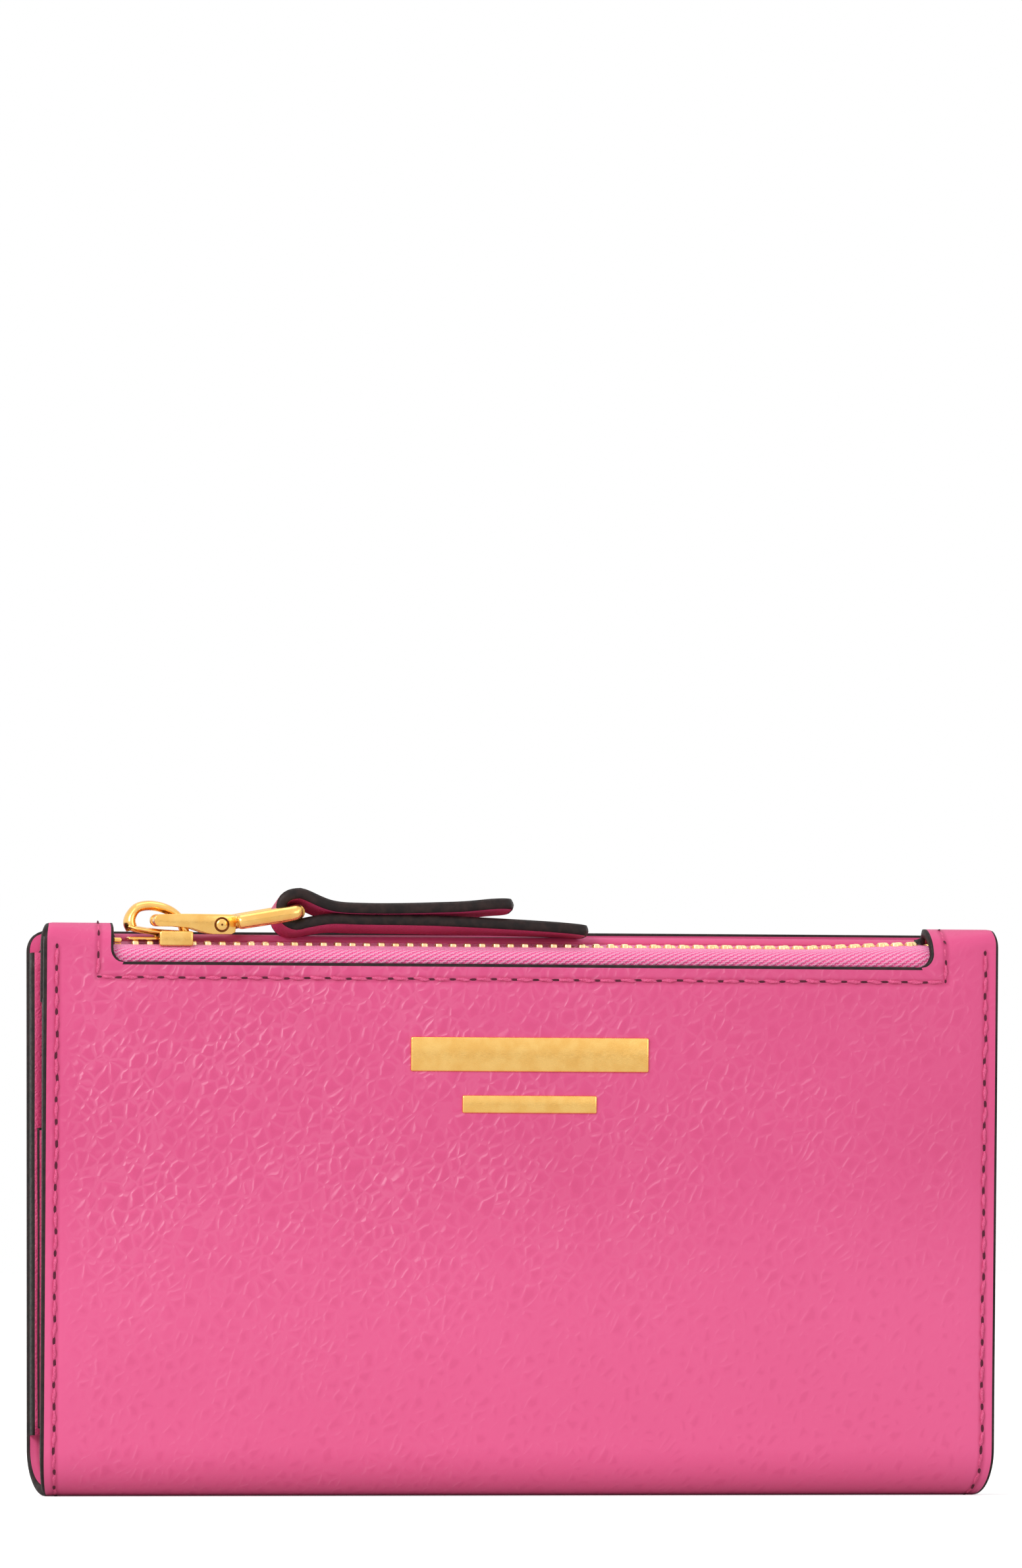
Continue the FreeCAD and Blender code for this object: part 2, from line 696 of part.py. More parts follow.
def emblem_bar(label, width, tall, z):
    """Blank gilt bar on the front face."""
    body = new_body(label)
    box(body, "Bar", f"emblem_x - {width} / 2", "0 - emblem_height", f"{z} - {tall} / 2", width,
        "emblem_height", tall)
    round_edges(body, "Ends", f"{tall} * emblem_corner", lambda edge: is_line(edge, 1))
    lean_half(body, -1)


# ---------------------------------------------------------------- build

spine_leather()
spine_lining()
back_panel()
back_lining()
back_inner_panel()
for pocket in range(3):
    back_pocket(pocket)
front_panel()
front_inner_panel()
for pocket in range(3):
    front_pocket(pocket)
coin_pocket_lining()
for row_side in (-1, 1):
    zipper_tape(row_side)
    zipper_teeth(row_side)
zipper_stop("zipper_top_stop", "slider_left - left_stop_gap - stop_length")
zipper_stop("zipper_bottom_stop", "tooth_row_start + tooth_pitch * tooth_count + right_stop_gap")
slider_body()
slider_bridge()
puller_link()
link_rivet()
pull_ring()
pull_strap()
SIDES = {"left": "side_stitch_inset - wallet_width / 2",
         "right": "wallet_width / 2 - side_stitch_inset"}
STITCH_BOTTOM = "fold_radius + side_stitch_start"
for side_name, stitch_x in SIDES.items():
    stitch_column(f"front_thread_{side_name}", -1, stitch_x, STITCH_BOTTOM,
                  "front_height - hood_radius")
    stitch_column(f"back_thread_{side_name}", 1, stitch_x, STITCH_BOTTOM,
                  "back_height - back_stitch_margin")
window_thread()
emblem_bar("emblem_bar_upper", "emblem_upper_width", "emblem_upper_tall", "emblem_upper_z")
emblem_bar("emblem_bar_lower", "emblem_lower_width", "emblem_lower_tall", "emblem_lower_z")
doc.recompute()

for thing in doc.Objects:
    if {"Invalid", "Error"} & set(thing.State):
        raise RuntimeError(f"{thing.Name} did not build: {thing.State}")
for body in BODIES:
    if body.Shape.isNull() or not body.Shape.isValid() or body.Shape.Volume <= 0:
        raise RuntimeError(f"{body.Label} has no valid shape")

os.makedirs("parts", exist_ok=True)
for body in BODIES:
    body.Shape.exportStep(f"parts/{body.Label}.step")
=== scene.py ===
"""Looks of the folding wallet: leather, edges, stitches, zip, slider, pull and card pockets."""
import bmesh
import bpy
import math
import numpy as np
import random
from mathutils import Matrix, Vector
from mathutils.kdtree import KDTree


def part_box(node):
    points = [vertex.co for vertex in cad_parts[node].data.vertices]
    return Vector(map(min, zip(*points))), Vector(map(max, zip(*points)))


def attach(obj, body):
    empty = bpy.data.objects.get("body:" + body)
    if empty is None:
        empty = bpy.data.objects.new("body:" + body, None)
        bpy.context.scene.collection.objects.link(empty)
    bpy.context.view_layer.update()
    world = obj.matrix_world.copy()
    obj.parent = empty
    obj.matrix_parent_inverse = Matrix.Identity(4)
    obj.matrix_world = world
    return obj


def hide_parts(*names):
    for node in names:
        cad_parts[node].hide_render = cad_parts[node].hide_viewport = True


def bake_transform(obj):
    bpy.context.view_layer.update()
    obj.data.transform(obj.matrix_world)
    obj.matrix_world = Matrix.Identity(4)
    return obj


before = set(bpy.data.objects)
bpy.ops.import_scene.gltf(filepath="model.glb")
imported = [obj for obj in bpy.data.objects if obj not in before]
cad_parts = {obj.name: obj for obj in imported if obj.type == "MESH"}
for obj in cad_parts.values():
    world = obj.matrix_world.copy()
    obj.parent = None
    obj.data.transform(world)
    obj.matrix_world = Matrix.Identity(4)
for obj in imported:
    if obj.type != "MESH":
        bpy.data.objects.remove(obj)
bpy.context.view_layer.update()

MM = 0.001
random.seed(7)

# ---------------------------------------------------------------- sizes, in millimetres

# the leather sheet: fold, hood over the top edge, flap down the inside
LEAN = math.radians(1.4)
FOLD_R = 7.6
HALF_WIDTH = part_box("front_panel")[1][0] / MM
LEATHER = 1.4
PAINT = 0.35
FRONT_CREST = 89.5
BACK_TOP = 88.4
BACK_CORNER = 3.2
HOOD_R = 4.4
EDGE_HOOD_R = 2.2
PINCH_START = 66.5
FLAP_END = 77.2

# the zip window and the stitches
WINDOW_HALF = 65.3
SILL = 83.4
WINDOW_FAR_DEPTH = 7.4
SIDE_STITCH = HALF_WIDTH - 1.95
WINDOW_STITCH = 2.3
STITCH_PITCH = 3.3
GROOVE_CELL = 0.45

# the inner leaves of each half
LEAF_HALF = 75.2
LEAF_BOTTOM = 10.0
POCKETS = 3
POCKET_STEP = 11.0
POCKET_RISE = 0.58
POCKET_LEAF = 0.5
BACK_POCKET_DEPTH = 3.10
FRONT_POCKET_LIFT = 0.65
STACK_START = 1.25
STACK_BOTTOM = 9.5
BACK_STACK = 4.65
FRONT_STACK_LOW, FRONT_STACK_HIGH = 1.5, 4.3

# the zip
CHAIN_DEPTH = 4.2
CHAIN_V = 86.4
TOOTH_PITCH = 2.29
TOOTH_COUNT = 55
TOOTH_START = -61.4
TAPE_TURN = 4.0
NEAR_TAPE = [(1.60, 79.2), (1.60, 82.4), (1.25, 84.2), (1.35, 85.4), (1.7, 85.9), (2.35, 86.2)]
FAR_TAPE = [(7.25, 79.0), (7.2, 83.5), (7.0, 86.0), (6.8, 86.75), (6.3, 86.5), (5.6, 86.15)]

# the pull
EYE_X = -57.6
RIVET_X, RIVET_V = -47.9, 89.35
RING_RISE = math.radians(9.8)
RING_REACH = 12.05
STRAP_WIDTH = 6.4
STRAP_PLY = 1.65

# distances along the front and back sheets, from the middle of the fold
ARC = FOLD_R * (math.pi / 2 - LEAN)
STRAIGHT = FRONT_CREST - HOOD_R - FOLD_R
HOOD_START = ARC + STRAIGHT
HOOD_LENGTH = HOOD_R * math.pi
FLAP_START = HOOD_START + HOOD_LENGTH
FLAP_LENGTH = FRONT_CREST - HOOD_R - FLAP_END
SILL_S = ARC + SILL - FOLD_R
FAR_S = HOOD_START + HOOD_R * math.acos(1 - WINDOW_FAR_DEPTH / HOOD_R)
SIDE_TOP = HOOD_START - 1.2
BACK_TOP_S = ARC + BACK_TOP - FOLD_R


def smooth(t):
    """An even rise from 0 to 1 that starts and ends level."""
    t = np.clip(t, 0.0, 1.0)
    return t * t * (3 - 2 * t)


def half_point(side, x, depth, v):
    """Flat coordinates of a half (front -1, back 1) to the wallet's frame, in metres."""
    x, depth, v = np.broadcast_arrays(np.asarray(x, float), depth, v)
    y, z = FOLD_R - depth, v - FOLD_R
    across = y * math.cos(LEAN) + z * math.sin(LEAN)
    up = FOLD_R - y * math.sin(LEAN) + z * math.cos(LEAN)
    return np.stack([x, side * across, up], axis=-1) * MM


# ---------------------------------------------------------------- material nodes

def srgb(red, green, blue):
    """A colour given in 8-bit sRGB as the linear colour that shaders use."""
    def linear(c):
        c /= 255
        return c / 12.92 if c <= 0.04045 else ((c + 0.055) / 1.055) ** 2.4
    return (linear(red), linear(green), linear(blue), 1.0)


def grey(value):
    return (value, value, value, 1)


class Nodes:
    """A node tree, with short ways to add what the materials are made of.

    Every value may be a plain number, a colour or the output of another node."""

    def __init__(self, tree):
        self.tree = tree

    def feed(self, socket, value):
        if isinstance(value, bpy.types.NodeSocket):
            self.tree.links.new(value, socket)
        elif value is not None:
            socket.default_value = value

    def add(self, kind, **inputs):
        made = self.tree.nodes.new("ShaderNode" + kind)
        for name, value in inputs.items():
            self.feed(made.inputs[name.replace("_", " ")], value)
        return made

    def maths(self, operation, a, b=None):
        made = self.add("Math")
        made.operation = operation
        self.feed(made.inputs[0], a)
        self.feed(made.inputs[1], b)
        return made.outputs[0]

    def times(self, product, *others):
        for other in others:
            product = self.maths("MULTIPLY", product, other)
        return product

    def vector_maths(self, operation, a, b):
        made = self.add("VectorMath")
        made.operation = operation
        self.feed(made.inputs[0], a)
        self.feed(made.inputs["Scale" if operation == "SCALE" else 1], b)
        return made.outputs[0]

    def mix(self, factor, a, b):
        made = self.add("Mix")
        made.data_type = "RGBA"
        for k, value in ((0, factor), (6, a), (7, b)):
            self.feed(made.inputs[k], value)
        return made.outputs[2]

    def ramp(self, value, low, high, low_out=0.0, high_out=1.0):
        """Map a value smoothly from low..high to low_out..high_out."""
        made = self.add("MapRange", Value=value, From_Min=low, From_Max=high, To_Min=low_out,
                        To_Max=high_out)
        made.interpolation_type = "SMOOTHSTEP"
        return made.outputs["Result"]

    def rest_place(self):
        """The flat pattern place of a point, stored with each sheet, so grain bends with it."""
        attribute = self.add("Attribute")
        attribute.attribute_name = "rest"
        return attribute.outputs["Vector"]

    def object_place(self):
        return self.add("TexCoord").outputs["Object"]

    def split(self, vector):
        """The first two coordinates of a place."""
        return self.add("SeparateXYZ", Vector=vector).outputs[:2]

    def mapped(self, vector, **change):
        """Coordinates moved by a Location or stretched by a Scale."""
        return self.add("Mapping", Vector=vector, **change).outputs["Vector"]

    def turned(self, vector, angle):
        made = self.add("VectorRotate", Vector=vector, Angle=angle)
        made.rotation_type = "Z_AXIS"
        return made.outputs[0]

    def noise(self, vector, scale, detail=2.0, output="Fac"):
        return self.add("TexNoise", Vector=vector, Scale=scale, Detail=detail).outputs[output]

    def bent(self, vector, scale, amount):
        """Coordinates bent by a soft noise, so that cells lose their straight sides."""
        wobble = self.noise(vector, scale, output="Color")
        centred = self.vector_maths("SUBTRACT", wobble, (0.5, 0.5, 0.5))
        return self.vector_maths("ADD", vector, self.vector_maths("SCALE", centred, amount))

    def wall_distance(self, vector, scale):
        """Distance to the nearest wall between irregular cells."""
        made = self.add("TexVoronoi", Vector=vector, Scale=scale)
        made.feature = "DISTANCE_TO_EDGE"
        return made.outputs["Distance"]

    def bump(self, height, distance, strength=1.0):
        made = self.add("Bump", Height=height, Distance=distance, Strength=strength)
        return made.outputs["Normal"]


class Material(Nodes):
    """The nodes of one material; give() sets inputs of its shader."""

    def __init__(self, name, roughness=0.5, metallic=0.0):
        self.made = bpy.data.materials.new(name)
        self.made.use_nodes = True
        super().__init__(self.made.node_tree)
        self.give(Roughness=roughness, Metallic=metallic)

    def give(self, **inputs):
        shader = self.tree.nodes["Principled BSDF"]
        for name, value in inputs.items():
            self.feed(shader.inputs[name.replace("_", " ")], value)


# ---------------------------------------------------------------- materials

PINK = srgb(214, 78, 130)
PINK_DEEP = srgb(199, 64, 114)
# painted highlight colour of the pebble grain
PINK_HIGHLIGHT = srgb(250, 172, 198)
# painted floor bounce light: the colour low on the face
PINK_BOUNCE_LIT = srgb(238, 104, 154)
STITCH_SHADOW = srgb(170, 38, 88)


def stitch_shade(m, where, window):
    """Painted shade in the groove where a row of stitches pulls the leather down."""
    x, s = m.split(where)
    side = m.maths("ABSOLUTE", x)
    away = m.maths("ABSOLUTE", m.maths("SUBTRACT", side, SIDE_STITCH * MM))
    past_row = m.ramp(s, (SIDE_TOP - 0.2) * MM, (SIDE_TOP + 1.2) * MM, 0.0, 0.001)
    away = m.maths("ADD", away, past_row)
    if window:
        low = (SILL_S - WINDOW_STITCH) * MM
        high = (FAR_S + WINDOW_STITCH) * MM
        out_x = m.maths("SUBTRACT", side, (WINDOW_HALF + WINDOW_STITCH) * MM)
        from_middle = m.maths("ABSOLUTE", m.maths("SUBTRACT", s, (low + high) / 2))
        out_s = m.maths("SUBTRACT", from_middle, (high - low) / 2)
        away = m.maths("MINIMUM", away, m.maths("ABSOLUTE", m.maths("MAXIMUM", out_x, out_s)))
    return m.ramp(away, 0.0002, 0.00085, 0.5, 0.0)


def pebbled_leather(name, window=False):
    """Soft slanting pebbles, darker at heart, with painted highlights on the lit side of the creases
    that run up to the right.
    """
    m = Material(name, 0.46)
    where = m.rest_place()
    x, s = m.split(where)
    slanted = m.mapped(m.turned(where, math.radians(-56)), Scale=(0.80, 1.12, 1.0))
    spot = m.bent(slanted, 240.0, 0.0022)
    pebble_scale = 520.0
    here = m.wall_distance(spot, pebble_scale)
    beside = m.wall_distance(m.mapped(spot, Location=(0.0, 0.00013, 0.0)), pebble_scale)
    slope = m.maths("SUBTRACT", m.ramp(here, 0.0, 0.22), m.ramp(beside, 0.0, 0.22))

    leftward = m.ramp(x, -0.05, 0.07, 1.0, 0.35)
    margin = m.ramp(m.maths("ABSOLUTE", x), 0.0695, 0.0735, 1.0, 0.2)
    upper = m.ramp(s, 0.085, 0.0925, 1.0, 0.15)
    lower = m.ramp(s, 0.018, 0.060, 0.22, 1.0)
    patch = m.ramp(m.noise(where, 70.0), 0.36, 0.64, 0.5, 1.0)
    strength = m.times(m.times(leftward, margin), m.times(upper, patch), lower)

    pores = m.noise(where, 4200.0)
    swelling = m.times(m.ramp(here, 0.0, 0.34), strength)
    height = m.maths("ADD", swelling, m.times(pores, 0.16))
    streak = m.ramp(m.noise(where, 420.0, 1.0), 0.38, 0.60, 0.10, 1.0)
    # painted highlight: lighter on the side of each crease that would face the light
    lit_side_highlight = m.times(m.ramp(slope, 0.05, 0.45), strength, streak, 0.54)
    # painted highlight: a faint lightening along every crease
    crease_highlight = m.times(m.ramp(here, 0.0, 0.14, 1.0, 0.0), strength)
    middle = m.times(m.ramp(here, 0.16, 0.42), margin)
    drift = m.ramp(m.noise(where, 26.0, 3.0), 0.3, 0.7)
    # painted light: lighter low on the face, where light bounced from the floor would fall
    painted_floor_bounce = m.ramp(s, 0.030, 0.062, 0.42, 0.0)
    colour = PINK
    for amount, tint in ((m.times(drift, 0.3), PINK_DEEP), (painted_floor_bounce, PINK_BOUNCE_LIT),
                         (m.times(middle, 0.24), PINK_DEEP), (m.times(crease_highlight, 0.10), PINK_HIGHLIGHT),
                         (lit_side_highlight, PINK_HIGHLIGHT), (stitch_shade(m, where, window), STITCH_SHADOW)):
        colour = m.mix(amount, colour, tint)
    m.give(Base_Color=colour, Normal=m.bump(height, 0.00007),
           Roughness=m.ramp(pores, 0.3, 0.7, 0.42, 0.54), Specular_IOR_Level=0.42)
    return m.made


def smooth_leather(name, base, deep):
    """Fine-grained leather of the inner leaves and the strap."""
    m = Material(name, 0.5)
    where = m.rest_place()
    height = m.ramp(m.wall_distance(m.bent(where, 900.0, 0.0006), 1500.0), 0.0, 0.4)
    drift = m.ramp(m.noise(where, 90.0, 3.0), 0.3, 0.7)
    m.give(Normal=m.bump(height, 0.00005), Base_Color=m.mix(drift, base, deep))
    return m.made


def edge_paint():
    """Thick, slightly uneven, near-black edge paint with a soft gloss."""
    m = Material("painted_edge")
    where = m.object_place()
    lumps = m.noise(where, 700.0)
    colour = m.mix(m.ramp(lumps, 0.3, 0.75), srgb(24, 16, 16), srgb(44, 30, 28))
    m.give(Base_Color=colour, Normal=m.bump(lumps, 0.00012, 0.7), Specular_IOR_Level=0.22,
           Roughness=m.ramp(m.noise(where, 2300.0), 0.3, 0.7, 0.42, 0.58))
    return m.made


def gilt(name, roughness, light, dark):
    """Gold plating with faint polishing marks and uneven gloss."""
    m = Material(name, roughness, 1.0)
    where = m.object_place()
    marks = m.noise(m.mapped(where, Scale=(1.0, 6.0, 6.0)), 1800.0, 3.0)
    tone = m.ramp(m.noise(where, 420.0, 3.0), 0.3, 0.7)
    m.give(Base_Color=m.mix(tone, light, dark), Normal=m.bump(marks, 0.00001, 0.35),
           Roughness=m.ramp(marks, 0.25, 0.75, roughness - 0.05, roughness + 0.1))
    return m.made


def thread_fibre():
    m = Material("pink_thread", 0.6)
    fuzz = m.noise(m.object_place(), 6000.0, 3.0)
    colour = m.mix(m.ramp(fuzz, 0.3, 0.7), srgb(196, 62, 110), srgb(224, 92, 140))
    m.give(Base_Color=colour, Normal=m.bump(fuzz, 0.00006, 0.8))
    return m.made


def needle_hole_shade():
    m = Material("needle_hole_shade", 0.9)
    shade = m.noise(m.object_place(), 4000.0)
    # near-black colour: painted shade inside the needle holes
    m.give(Base_Color=m.mix(shade, srgb(58, 8, 26), srgb(96, 20, 48)))
    return m.made


def woven_cloth():
    """Plain weave: two crossed sets of rounded yarns."""
    m = Material("pink_lining", 0.75)
    where = m.rest_place()
    yarn_pitch = 0.00045
    yarns = []
    for direction in ("X", "Y"):
        wave = m.add("TexWave", Vector=where, Scale=0.314 / yarn_pitch, Distortion=0.6, Detail=1.0)
        wave.bands_direction = direction
        yarns.append(wave.outputs["Fac"])
    weave = m.times(*yarns)
    # the colour follows the weave's relief: painted shade where the yarns dip
    m.give(Base_Color=m.mix(weave, srgb(168, 52, 96), srgb(206, 84, 128)),
           Normal=m.bump(weave, 0.00008), Sheen_Weight=0.3)
    return m.made


def twill_tape():
    """Zipper tape: slanted twill ridges over a fine knit, paler toward the teeth."""
    m = Material("twill_tape", 0.62)
    where = m.rest_place()
    along, across = m.split(where)

    def wave(value, period):
        return m.ramp(m.maths("SINE", m.times(value, 2 * math.pi / period)), -1.0, 1.0)

    slant = m.maths("SUBTRACT", along, m.times(across, 1.7))
    lean = m.maths("ADD", along, m.times(across, 0.6))
    knit = m.times(wave(lean, 0.00042), wave(across, 0.00036))
    height = m.maths("ADD", m.times(wave(slant, 0.00135), 0.8), m.times(knit, 0.9))
    height = m.maths("ADD", height, m.times(m.noise(where, 3800.0), 0.4))
    # the colour follows the ridges' height: painted shade in the dips of the twill and knit
    colour = m.mix(m.ramp(height, 0.2, 1.3), srgb(250, 74, 146), srgb(255, 170, 206))
    pale = m.ramp(across, TAPE_TURN * MM, (TAPE_TURN + 2.6) * MM, 0.0, 0.5)
    m.give(Base_Color=m.mix(pale, colour, srgb(255, 160, 204)), Normal=m.bump(height, 0.00007))
    return m.made


LEATHER_MAT = pebbled_leather("pebbled_pink_leather", window=True)
BACK_MAT = pebbled_leather("pebbled_pink_back")
INNER_MAT = smooth_leather("inner_pink_leather", srgb(216, 78, 128), srgb(204, 66, 116))
STRAP_MAT = smooth_leather("strap_pink_leather", srgb(206, 62, 112), srgb(192, 52, 100))
# a thin tan line on the inward rounding of the front half's painted side edges
TAN_LINE_MAT = smooth_leather("tan_edge_line", srgb(190, 132, 98), srgb(160, 104, 78))
PAINT_MAT = edge_paint()
GILT_MAT = gilt("gilt", 0.2, srgb(255, 206, 122), srgb(247, 192, 106))
TEETH_MAT = gilt("gilt_teeth", 0.34, srgb(255, 226, 176), srgb(244, 206, 148))
# dark brown gilt: painted shade in the rivet's engraved circle and dot
GROOVE_SHADE_MAT = gilt("gilt_groove_shade", 0.45, srgb(120, 66, 30), srgb(92, 48, 24))
THREAD_MAT = thread_fibre()
HOLE_SHADE_MAT = needle_hole_shade()
LINING_MAT = woven_cloth()
TAPE_MAT = twill_tape()


# ---------------------------------------------------------------- pieces

def new_piece(name, vertices, faces, materials, face_material=None):
    mesh = bpy.data.meshes.new(name)
    mesh.from_pydata([tuple(v) for v in vertices], [], faces)
    for mat in materials:
        mesh.materials.append(mat)
    if face_material is not None:
        mesh.polygons.foreach_set("material_index", face_material)
    work = bmesh.new()
    work.from_mesh(mesh)
    bmesh.ops.recalc_face_normals(work, faces=work.faces)
    work.to_mesh(mesh)
    work.free()
    mesh.polygons.foreach_set("use_smooth", [True] * len(mesh.polygons))
    piece = bpy.data.objects.new(name, mesh)
    bpy.context.scene.collection.objects.link(piece)
    return piece


def store_rest(piece, places):
    """Keep each vertex's flat pattern place for the materials."""
    attribute = piece.data.attributes.new("rest", "FLOAT_VECTOR", "POINT")
    attribute.data.foreach_set("vector", np.asarray(places, np.float32).ravel())


def half_body(side):
    return "front_half" if side < 0 else "back_half"


def assign(piece, body=None, nodes=()):
    """Give a piece the body that carries it, and hide the solids that it stands for."""
    if body:
        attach(piece, body)
    if nodes:
        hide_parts(*nodes)


def bend_at_fold(piece):
    """Bake a piece's place into its mesh; nothing here makes it bend with the fold."""
    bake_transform(piece)


# ---------------------------------------------------------------- spacing and curves

def spaced(low, high, step):
    """Evenly spaced values from low to high, about one step apart."""
    count = max(1, round(abs(high - low) / step))
    return list(np.linspace(low, high, count + 1))


def around(middle, step, first, last):
    return [middle + k * step for k in range(first, last + 1)]


def merge_sorted(*lists):
    """All values in order, leaving out those closer than a hair to the one before."""
    hair = 0.12
    kept = []
    for value in sorted(v for values in lists for v in values):
        if not kept or value - kept[-1] > hair:
            kept.append(value)
    return kept


def mirrored(values):
    return merge_sorted([-v for v in values], values)


def spline(points, count):
    """A smooth curve through points (Catmull-Rom), as an array of count + 1 points."""
    points = [np.array(p, float) for p in points]
    padded = [2 * points[0] - points[1]] + points + [2 * points[-1] - points[-2]]
    spans = len(points) - 1
    out = []
    for k in range(count + 1):
        t = k / count * spans
        i = min(int(t), spans - 1)
        u = t - i
        a, b, c, d = padded[i:i + 4]
        out.append(0.5 * (2 * b + (c - a) * u + (2 * a - 5 * b + 4 * c - d) * u ** 2
                          + (3 * b - a - 3 * c + d) * u ** 3))
    return np.array(out)


def along_curve(curve, t):
    """Interpolate an evenly spaced curve at t from 0 to 1."""
    place = np.clip(t, 0, 1) * (len(curve) - 1)
    return np.stack([np.interp(place, np.arange(len(curve)), curve[:, k])
                     for k in range(curve.shape[1])], axis=-1)


def corner_inset(into, radius):
    """How far a rounded corner draws its edge in, a given way into it."""
    return radius - np.sqrt(np.clip(radius ** 2 - into ** 2, 0, None))


# ---------------------------------------------------------------- sheets

RIM_SHARES = (0.25, 0.5, 0.75)


def cut_sides(keep):
    """Each side of a kept cell that has no kept cell beyond it: the cell and two corners."""
    sides = (((0, 0), (1, 0), (0, -1)), ((0, 1), (1, 1), (0, 1)),
             ((0, 0), (0, 1), (-1, 0)), ((1, 0), (1, 1), (1, 0)))
    columns, rows = keep.shape
    found = []
    for i, j in zip(*np.nonzero(keep)):
        for a, b, step in sides:
            beyond = (i + step[0], j + step[1])
            if 0 <= beyond[0] < columns and 0 <= beyond[1] < rows and keep[beyond]:
                continue
            found.append(((i, j), (i + a[0], j + a[1]), (i + b[0], j + b[1])))
    return found


def spread_paint(coated_cells, keep, centres, coat):
    """Paint laps over the edge: coat the cells whose middles lie close to a painted edge."""
    tree = KDTree(len(coat))
    for k, point in enumerate(coat):
        tree.insert(point, k)
    tree.balance()
    for cell in zip(*np.nonzero(keep)):
        if tree.find(centres[cell])[2] < 0.8 * PAINT * MM:
            coated_cells[cell] = True


def rim_points(border, outer, inner, normal, bulge):
    """For each corner on a cut edge, the points that dome it across the thickness."""
    ways = {}
    for a, b, outward, _ in border:
        for corner in (a, b):
            ways[corner] = ways.get(corner, 0) + outward / np.linalg.norm(outward)
    rims = {}
    for corner, way in ways.items():
        way = way - normal[corner] * np.dot(way, normal[corner])
        way /= np.linalg.norm(way) + 1e-12
        rims[corner] = [outer[corner] * (1 - share) + inner[corner] * share
                        + way * (bulge * MM * math.sin(math.pi * share)) for share in RIM_SHARES]
    return rims


def sheet(name, columns, rows, place, thickness, materials, hole=None, painted=None, bulge=0.16,
          side=-1):
    """A sheet with thickness over a grid of pattern places, with domed cut edges.

    place(x, s) gives the outer surface, hole(x, s) is true inside an opening,
    painted(x, s) says which cut edges take the second material, and side is the half (front -1,
    back 1) whose inside the thickness goes towards."""
    columns, rows = np.array(columns, float), np.array(rows, float)
    grid_x, grid_s = np.meshgrid(columns, rows, indexing="ij")
    outer = place(grid_x, grid_s)
    normal = np.cross(np.gradient(outer, axis=0), np.gradient(outer, axis=1))
    normal /= np.linalg.norm(normal, axis=-1, keepdims=True) + 1e-12
    normal *= -side
    inner = outer - normal * thickness * MM
    centres = (outer[:-1, :-1] + outer[:-1, 1:] + outer[1:, :-1] + outer[1:, 1:]) / 4
    keep = np.ones(centres.shape[:2], bool)
    if hole is not None:
        keep = ~hole(*np.meshgrid((columns[:-1] + columns[1:]) / 2, (rows[:-1] + rows[1:]) / 2,
                                  indexing="ij"))

    border, coat = [], []
    coated_cells = np.zeros_like(keep)
    for cell, a, b in cut_sides(keep):
        coated = painted is None or painted((grid_x[a] + grid_x[b]) / 2, (grid_s[a] + grid_s[b]) / 2)
        middle = (outer[a] + outer[b]) / 2
        border.append((a, b, middle - centres[cell], coated))
        coated_cells[cell] |= coated
        if coated:
            coat += [outer[a], outer[b], middle]
    if coat and painted is not None:
        spread_paint(coated_cells, keep, centres, coat)

    used = np.zeros(grid_x.shape, bool)
    for i, j in zip(*np.nonzero(keep)):
        used[i:i + 2, j:j + 2] = True
    count = int(used.sum())
    index = -np.ones(used.shape, int)
    index[used] = np.arange(count)
    vertices = list(outer[used]) + list(inner[used])
    under = 0.02
    places = [(x * MM, s * MM, low) for low in (0.0, under)
              for x, s in zip(grid_x[used], grid_s[used])]
    faces, face_material = [], []
    for i, j in zip(*np.nonzero(keep)):
        quad = [index[i, j], index[i + 1, j], index[i + 1, j + 1], index[i, j + 1]]
        faces += [quad, [count + k for k in reversed(quad)]]
        face_material += [int(coated_cells[i, j])] * 2

    chains = {}
    for corner, points in rim_points(border, outer, inner, normal, bulge).items():
        first = len(vertices)
        vertices += points
        places += [(grid_x[corner] * MM, grid_s[corner] * MM, under * share) for share in RIM_SHARES]
        chains[corner] = [index[corner], *range(first, len(vertices)), count + index[corner]]
    for a, b, _, coated in border:
        for k in range(len(RIM_SHARES) + 1):
            faces.append([chains[a][k], chains[b][k], chains[b][k + 1], chains[a][k + 1]])
            face_material.append(int(coated))
    piece = new_piece(name, vertices, faces, materials, face_material)
    store_rest(piece, places)
    return piece


# ---------------------------------------------------------------- bars and blocks

def circle(count):
    """Angles evenly spaced once round."""
    return [2 * math.pi * k / count for k in range(count)]


def skin(size, count, closed=False):
    """Faces that join count rings of size vertices in turn, with end caps unless closed."""
    faces = []
    spans = count if closed else count - 1
    for i in range(spans):
        a, b = i * size, ((i + 1) % count) * size
        for k in range(size):
            n = (k + 1) % size
            faces.append([a + k, a + n, b + n, b + k])
    if not closed:
        faces.append(list(range(size))[::-1])
        faces.append([spans * size + k for k in range(size)])
    return faces


def tube(points, radii, sides=14, wide=1.0, closed=False):
    """Vertices and faces of a round bar through points; wide stretches its section along Y."""
    points = [np.asarray(p, float) for p in points]
    count = len(points)
    radii = np.broadcast_to(radii, count)
    vertices = []
    for i, point in enumerate(points):
        before = points[i - 1] if i or closed else point
        after = points[(i + 1) % count] if i < count - 1 or closed else point
        tangent = after - before
        tangent /= np.linalg.norm(tangent)
        across = np.array([0.0, 1.0, 0.0] if abs(tangent[1]) <= 0.9 else [0.0, 0.0, 1.0])
        first = np.cross(tangent, across)
        first /= np.linalg.norm(first)
        second = np.cross(first, tangent)
        for angle in circle(sides):
            vertices.append(point + radii[i] * (math.cos(angle) * first
                                                + wide * math.sin(angle) * second))
    return vertices, skin(sides, count, closed)


